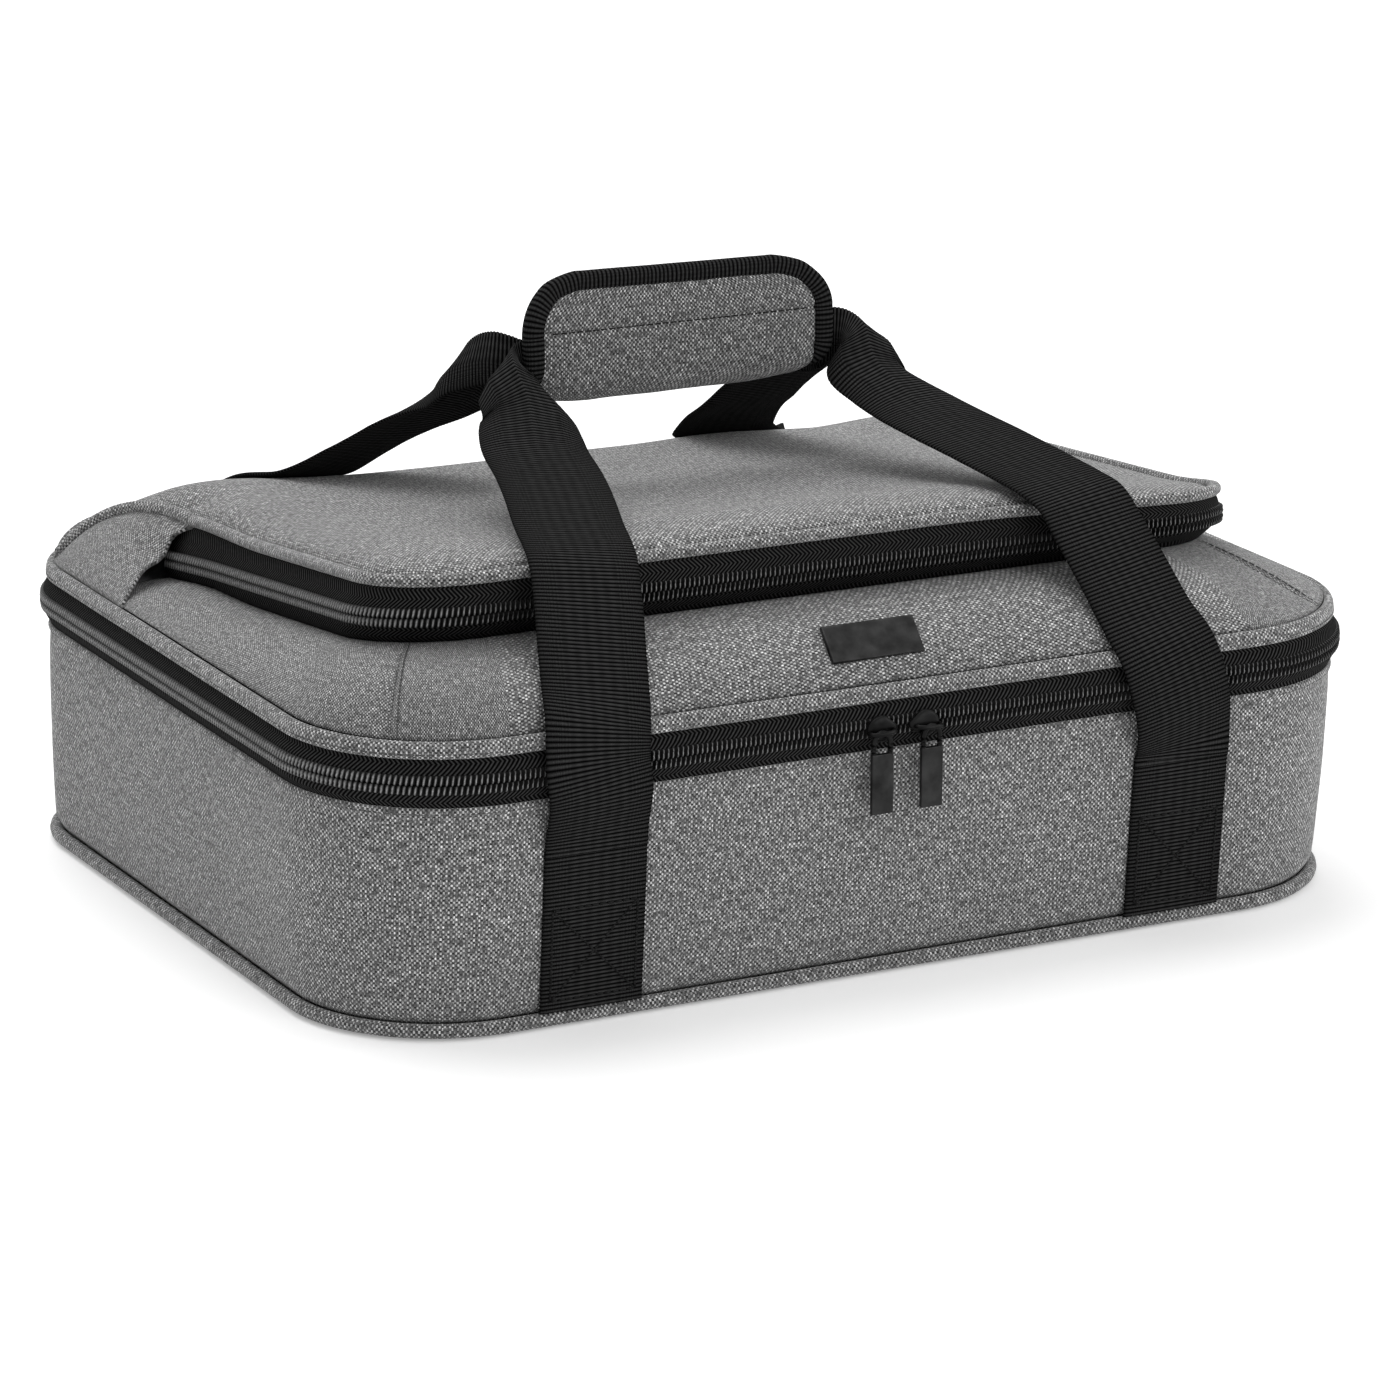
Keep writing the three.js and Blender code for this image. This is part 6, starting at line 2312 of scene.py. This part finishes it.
@dataclass
class Hardware:
    """Sliders, pulls and the badge plate."""

    wear: Wardrobe
    pocket: Pocket
    lid: Lid
    spacing: float = 20.0
    pivot_out: float = 3.4
    pivot_drop: float = 1.4
    plate_thick: float = 2.0
    pull_start: float = 6.8
    pull_reach: float = 29.0
    pull_width: float = 8.6
    pocket_y: float = 48.0
    pocket_lean: float = 78.0
    badge_length: float = 37.0
    badge_height: float = 14.6
    badge_x: float = -4.4
    badge_tip: float = 8.0
    badge_climb: float = 0.37
    badge_rim: float = 0.9
    badge_recess: float = 0.3

    def build(self) -> None:
        """Builds the main sliders, the pocket's slider and the badge."""
        chain = SIZES.half_depth + SIZES.bulge + SIZES.gap + SIZES.coil_depth
        for side in Side:
            origin = Vector((side.value * self.spacing / 2, -chain, SIZES.zip_level))
            nose = Vector((-side.value, 0, 0))
            self.slider(f"main_{side.word}", side.word, origin, nose, Vector((0, -1, 0)), 0.0)
        level = self.pocket.chain_level(self.pocket.half, self.pocket_y)
        origin = Vector((self.pocket.half + self.pocket.chain_depth, self.pocket_y, level))
        lean = math.radians(self.pocket_lean)
        self.slider("pocket", "pocket", origin, Vector((0, -1, 0)), Vector((1, 0, 0)), lean)
        self.badge()

    def slider(self, name: str, body: str, origin: Vector, nose: Vector, out: Vector, lean: float) -> None:
        """A domed slider with its bridge, and its pull on a ring.

        Args:
            name: the nodes' first words.
            body: the first word of the bodies that slide and swing.
            origin: the slider's middle on the chain.
            nose: the way its narrow end points.
            out: outwards from the chain.
            lean: how far the pull lies outwards instead of hanging.
        """
        up = Vector((0, 0, 1))

        def spot(ahead: float, away: float, high: float) -> Vector:
            """A point from its shares ahead, outwards and up."""
            return origin + nose * ahead + out * away + up * high

        mesh = bmesh.new()
        bmesh.ops.create_uvsphere(mesh, u_segments=32, v_segments=16, radius=1.0)
        for vertex in mesh.verts:
            ahead, away, high = vertex.co
            narrow = 1 - 0.45 * ease(ahead)
            reach = 0.4 + 2.0 * signed_power(away, 0.8)
            vertex.co = spot(1.6 + 6.2 * ahead, reach, 4.9 * high * narrow) * MM
        bmesh.ops.recalc_face_normals(mesh, faces=mesh.faces)
        dome = new_piece(f"{name}_slider_dome", mesh, self.wear.black_metal)
        settle(dome, f"{body}_slide", [f"{name}_slider"])
        rows = ((-4.4, 1.2, -0.8), (-3.8, 3.9, -0.8), (-1.5, 5.2, -0.6))
        rows += ((2.4, 5.0, -0.5), (5.0, 3.6, -0.4), (5.8, 1.0, -0.4))
        points = [spot(*row) for row in rows]
        bridge = tube(f"{name}_slider_bridge", points, 0.85, self.wear.black_metal, 40)
        settle(bridge, f"{body}_slide")
        pivot = spot(0, self.pivot_out, -self.pivot_drop)
        down = out * math.sin(lean) - up * math.cos(lean)
        face = out * math.cos(lean) + up * math.sin(lean)
        half = ((3.3, 8.0), (3.3, 5.0), (3.2, 2.2), (2.2, 0.2))
        rows = (*((-a, b) for a, b in half), (0, -0.8), *half[::-1])
        points = [pivot + nose * a + down * b for a, b in rows]
        ring = tube(f"{name}_pull_ring", points, 1.0, self.wear.black_metal, 48)
        settle(ring, f"{body}_tab")
        length = self.pull_reach - self.pull_start
        middle = pivot + down * (self.pull_start + length / 2)
        mesh = self.plate((nose, down, face), middle, (self.pull_width, length, self.plate_thick))
        self.bevel(mesh, list(mesh.edges), 0.4, 3)
        plate = new_piece(f"{name}_pull_plate", mesh, self.wear.metal)
        settle(plate, f"{body}_tab", [f"{name}_pull"])

    @staticmethod
    def plate(axes: Sequence[Vector], middle: Vector, size: Sequence[float]) -> bmesh.types.BMesh:
        """A flat plate with its faces outwards.

        Args:
            axes: its three directions.
            middle: its middle in millimetres.
            size: its size along each direction.

        Returns:
            The mesh.
        """
        mesh = bmesh.new()
        add_block(mesh, axes, middle, size)
        bmesh.ops.recalc_face_normals(mesh, faces=mesh.faces)
        return mesh

    @staticmethod
    def bevel(mesh: bmesh.types.BMesh, edges: list[bmesh.types.BMEdge], width: float, segments: int) -> None:
        """Rounds edges of a plate to a width in millimetres."""
        form = {"offset_type": "OFFSET", "profile": 0.5, "affect": "EDGES", "clamp_overlap": True}
        bmesh.ops.bevel(mesh, geom=edges, offset=width * MM, segments=segments, material=-1, **form)

    def badge(self) -> None:
        """The bare plate on the front skirt, with a fine raised rim."""
        line = self.lid.skirt_line
        place = min((abs(line.spot(i / 50).x - self.badge_x), i / 50) for i in range(1500, 4000))[1]
        climbs = (self.badge_climb + step for step in (-0.1, 0.0, 0.1))
        low, middle, high = [self.lid.skirt_point(place, climb) for climb in climbs]
        across = Vector((1, 0, 0))
        slope = Matrix.Rotation(math.radians(self.badge_tip), 3, "X") @ (high - low).normalized()
        face = across.cross(slope)
        size = (self.badge_length, self.badge_height, self.plate_thick)
        mesh = self.plate((across, slope, face), middle + face * 1.1, size)
        mesh.faces.ensure_lookup_table()
        front = max(mesh.faces, key=lambda side: side.normal.dot(face))
        bmesh.ops.inset_individual(mesh, faces=[front], thickness=self.badge_rim * MM, depth=0.0)
        bmesh.ops.translate(mesh, verts=front.verts, vec=face * -self.badge_recess * MM)
        rim = [edge for edge in mesh.edges if edge.calc_length() > 10 * MM]
        self.bevel(mesh, rim, 0.25, 2)
        settle(new_piece("badge_plate_metal", mesh, self.wear.metal), "lid", ["badge_plate"])


@dataclass
class Studio:
    """A pale floor, soft light and the camera at the photograph's angle."""

    lens: float = 151.72
    sensor: float = 36.0
    position: tuple[float, float, float] = (-980.7, -1915.2, 692.8)
    target: tuple[float, float, float] = (-0.422, -10.235, 64.088)
    roll: float = 0.105
    floor_lift: float = 0.27
    sky: float = 0.55

    def build(self) -> None:
        """Builds the floor, the light and the camera."""
        bpy.context.scene.view_settings.view_transform = "Standard"
        self.camera()
        self.floor()
        self.world()
        self.lamps()

    @staticmethod
    def aimed(name: str, data: bpy.types.ID, position: Vector, target: Vector) -> Piece:
        """Stands a camera or a lamp in the scene.

        Args:
            name: its name.
            data: its settings.
            position: where it stands, in metres.
            target: what it looks at.

        Returns:
            The object.
        """
        made = bpy.data.objects.new(name, data)
        bpy.context.scene.collection.objects.link(made)
        turn = (target - position).to_track_quat("-Z", "Y").to_matrix().to_4x4()
        made.matrix_world = Matrix.Translation(position) @ turn
        return made

    def camera(self) -> None:
        """Sets the camera."""
        data = bpy.data.cameras.new("photo_camera")
        data.lens = self.lens
        data.sensor_width = self.sensor
        data.sensor_fit = "HORIZONTAL"
        data.clip_end = 50.0
        camera = self.aimed("photo_camera", data, Vector(self.position) * MM, Vector(self.target) * MM)
        camera.matrix_world = camera.matrix_world @ Matrix.Rotation(math.radians(self.roll), 4, "Z")
        bpy.context.scene.camera = camera

    def floor(self) -> None:
        """The pale floor that keeps the carrier's shadow."""
        mesh = bmesh.new()
        bmesh.ops.create_grid(mesh, x_segments=2, y_segments=2, size=9.0)
        material = bpy.data.materials.new("pale_floor")
        material.use_nodes = True
        wiring = Wiring(material.node_tree)
        place = wiring.node("TexCoord").outputs["Object"]
        tone = wiring.ramp(wiring.noise(place, 3.0), ((0.3, grey(0.92)), (0.7, grey(0.94))))
        inputs = {"Base Color": tone, "Roughness": 0.9, "Specular IOR Level": 0.0}
        shader = wiring.node("BsdfPrincipled", inputs)
        path = wiring.node("LightPath")
        lift = wiring.math("MULTIPLY", path.outputs["Is Camera Ray"], self.floor_lift)
        glow = wiring.node("Emission", {"Color": grey(1.0), "Strength": lift})
        both = wiring.node("AddShader", {0: shader.outputs[0], 1: glow.outputs[0]})
        wiring.node("OutputMaterial", {"Surface": both.outputs[0]})
        new_piece("studio_floor", mesh, material)

    def world(self) -> None:
        """Even white light from all round."""
        world = bpy.data.worlds.new("studio_light")
        world.use_nodes = True
        wiring = Wiring(world.node_tree)
        path = wiring.node("LightPath")
        direct = wiring.math("MAXIMUM", path.outputs["Is Camera Ray"], path.outputs["Is Glossy Ray"])
        seen = wiring.math("MAXIMUM", direct, path.outputs["Is Transmission Ray"])
        light = wiring.node("Background", {"Color": grey(1.0), "Strength": self.sky})
        backdrop = wiring.node("Background", {"Color": grey(1.0), "Strength": 1.0})
        mixed = wiring.node("MixShader", {0: seen, 1: light.outputs[0], 2: backdrop.outputs[0]})
        wiring.node("OutputWorld", {"Surface": mixed.outputs[0]})
        bpy.context.scene.world = world

    def lamps(self) -> None:
        """Large soft lamps above, in front and at the right."""
        rows = (
            ("top_lamp", (-0.2, 1.2, 2.5), 2.6, 49.0),
            ("front_lamp", (0.7, -2.8, 1.7), 2.2, 24.0),
            ("right_lamp", (2.6, -1.3, 1.5), 1.8, 14.0),
        )
        for name, spot, size, power in rows:
            data = bpy.data.lights.new(name, "AREA")
            data.shape = "DISK"
            data.size = size
            data.energy = power
            self.aimed(name, data, Vector(spot), Vector((0, 0, 0.1)))


def main() -> None:
    """Builds the studio and then each sub-assembly in order."""
    logging.basicConfig(level=logging.INFO, format="%(name)s: %(message)s")
    Studio().build()
    wear = Wardrobe()
    pocket = Pocket()
    Base(wear).build()
    MainZip(wear).build()
    lid = Lid(wear, pocket)
    lid.build()
    PocketZip(wear, pocket, lid).build()
    top = TopPanel(wear, pocket, lid)
    top.build()
    handles = Handles(wear, pocket, top)
    handles.build()
    GripWrap(wear, handles).build()
    Hardware(wear, pocket, lid).build()


if __name__ == "__main__":
    main()
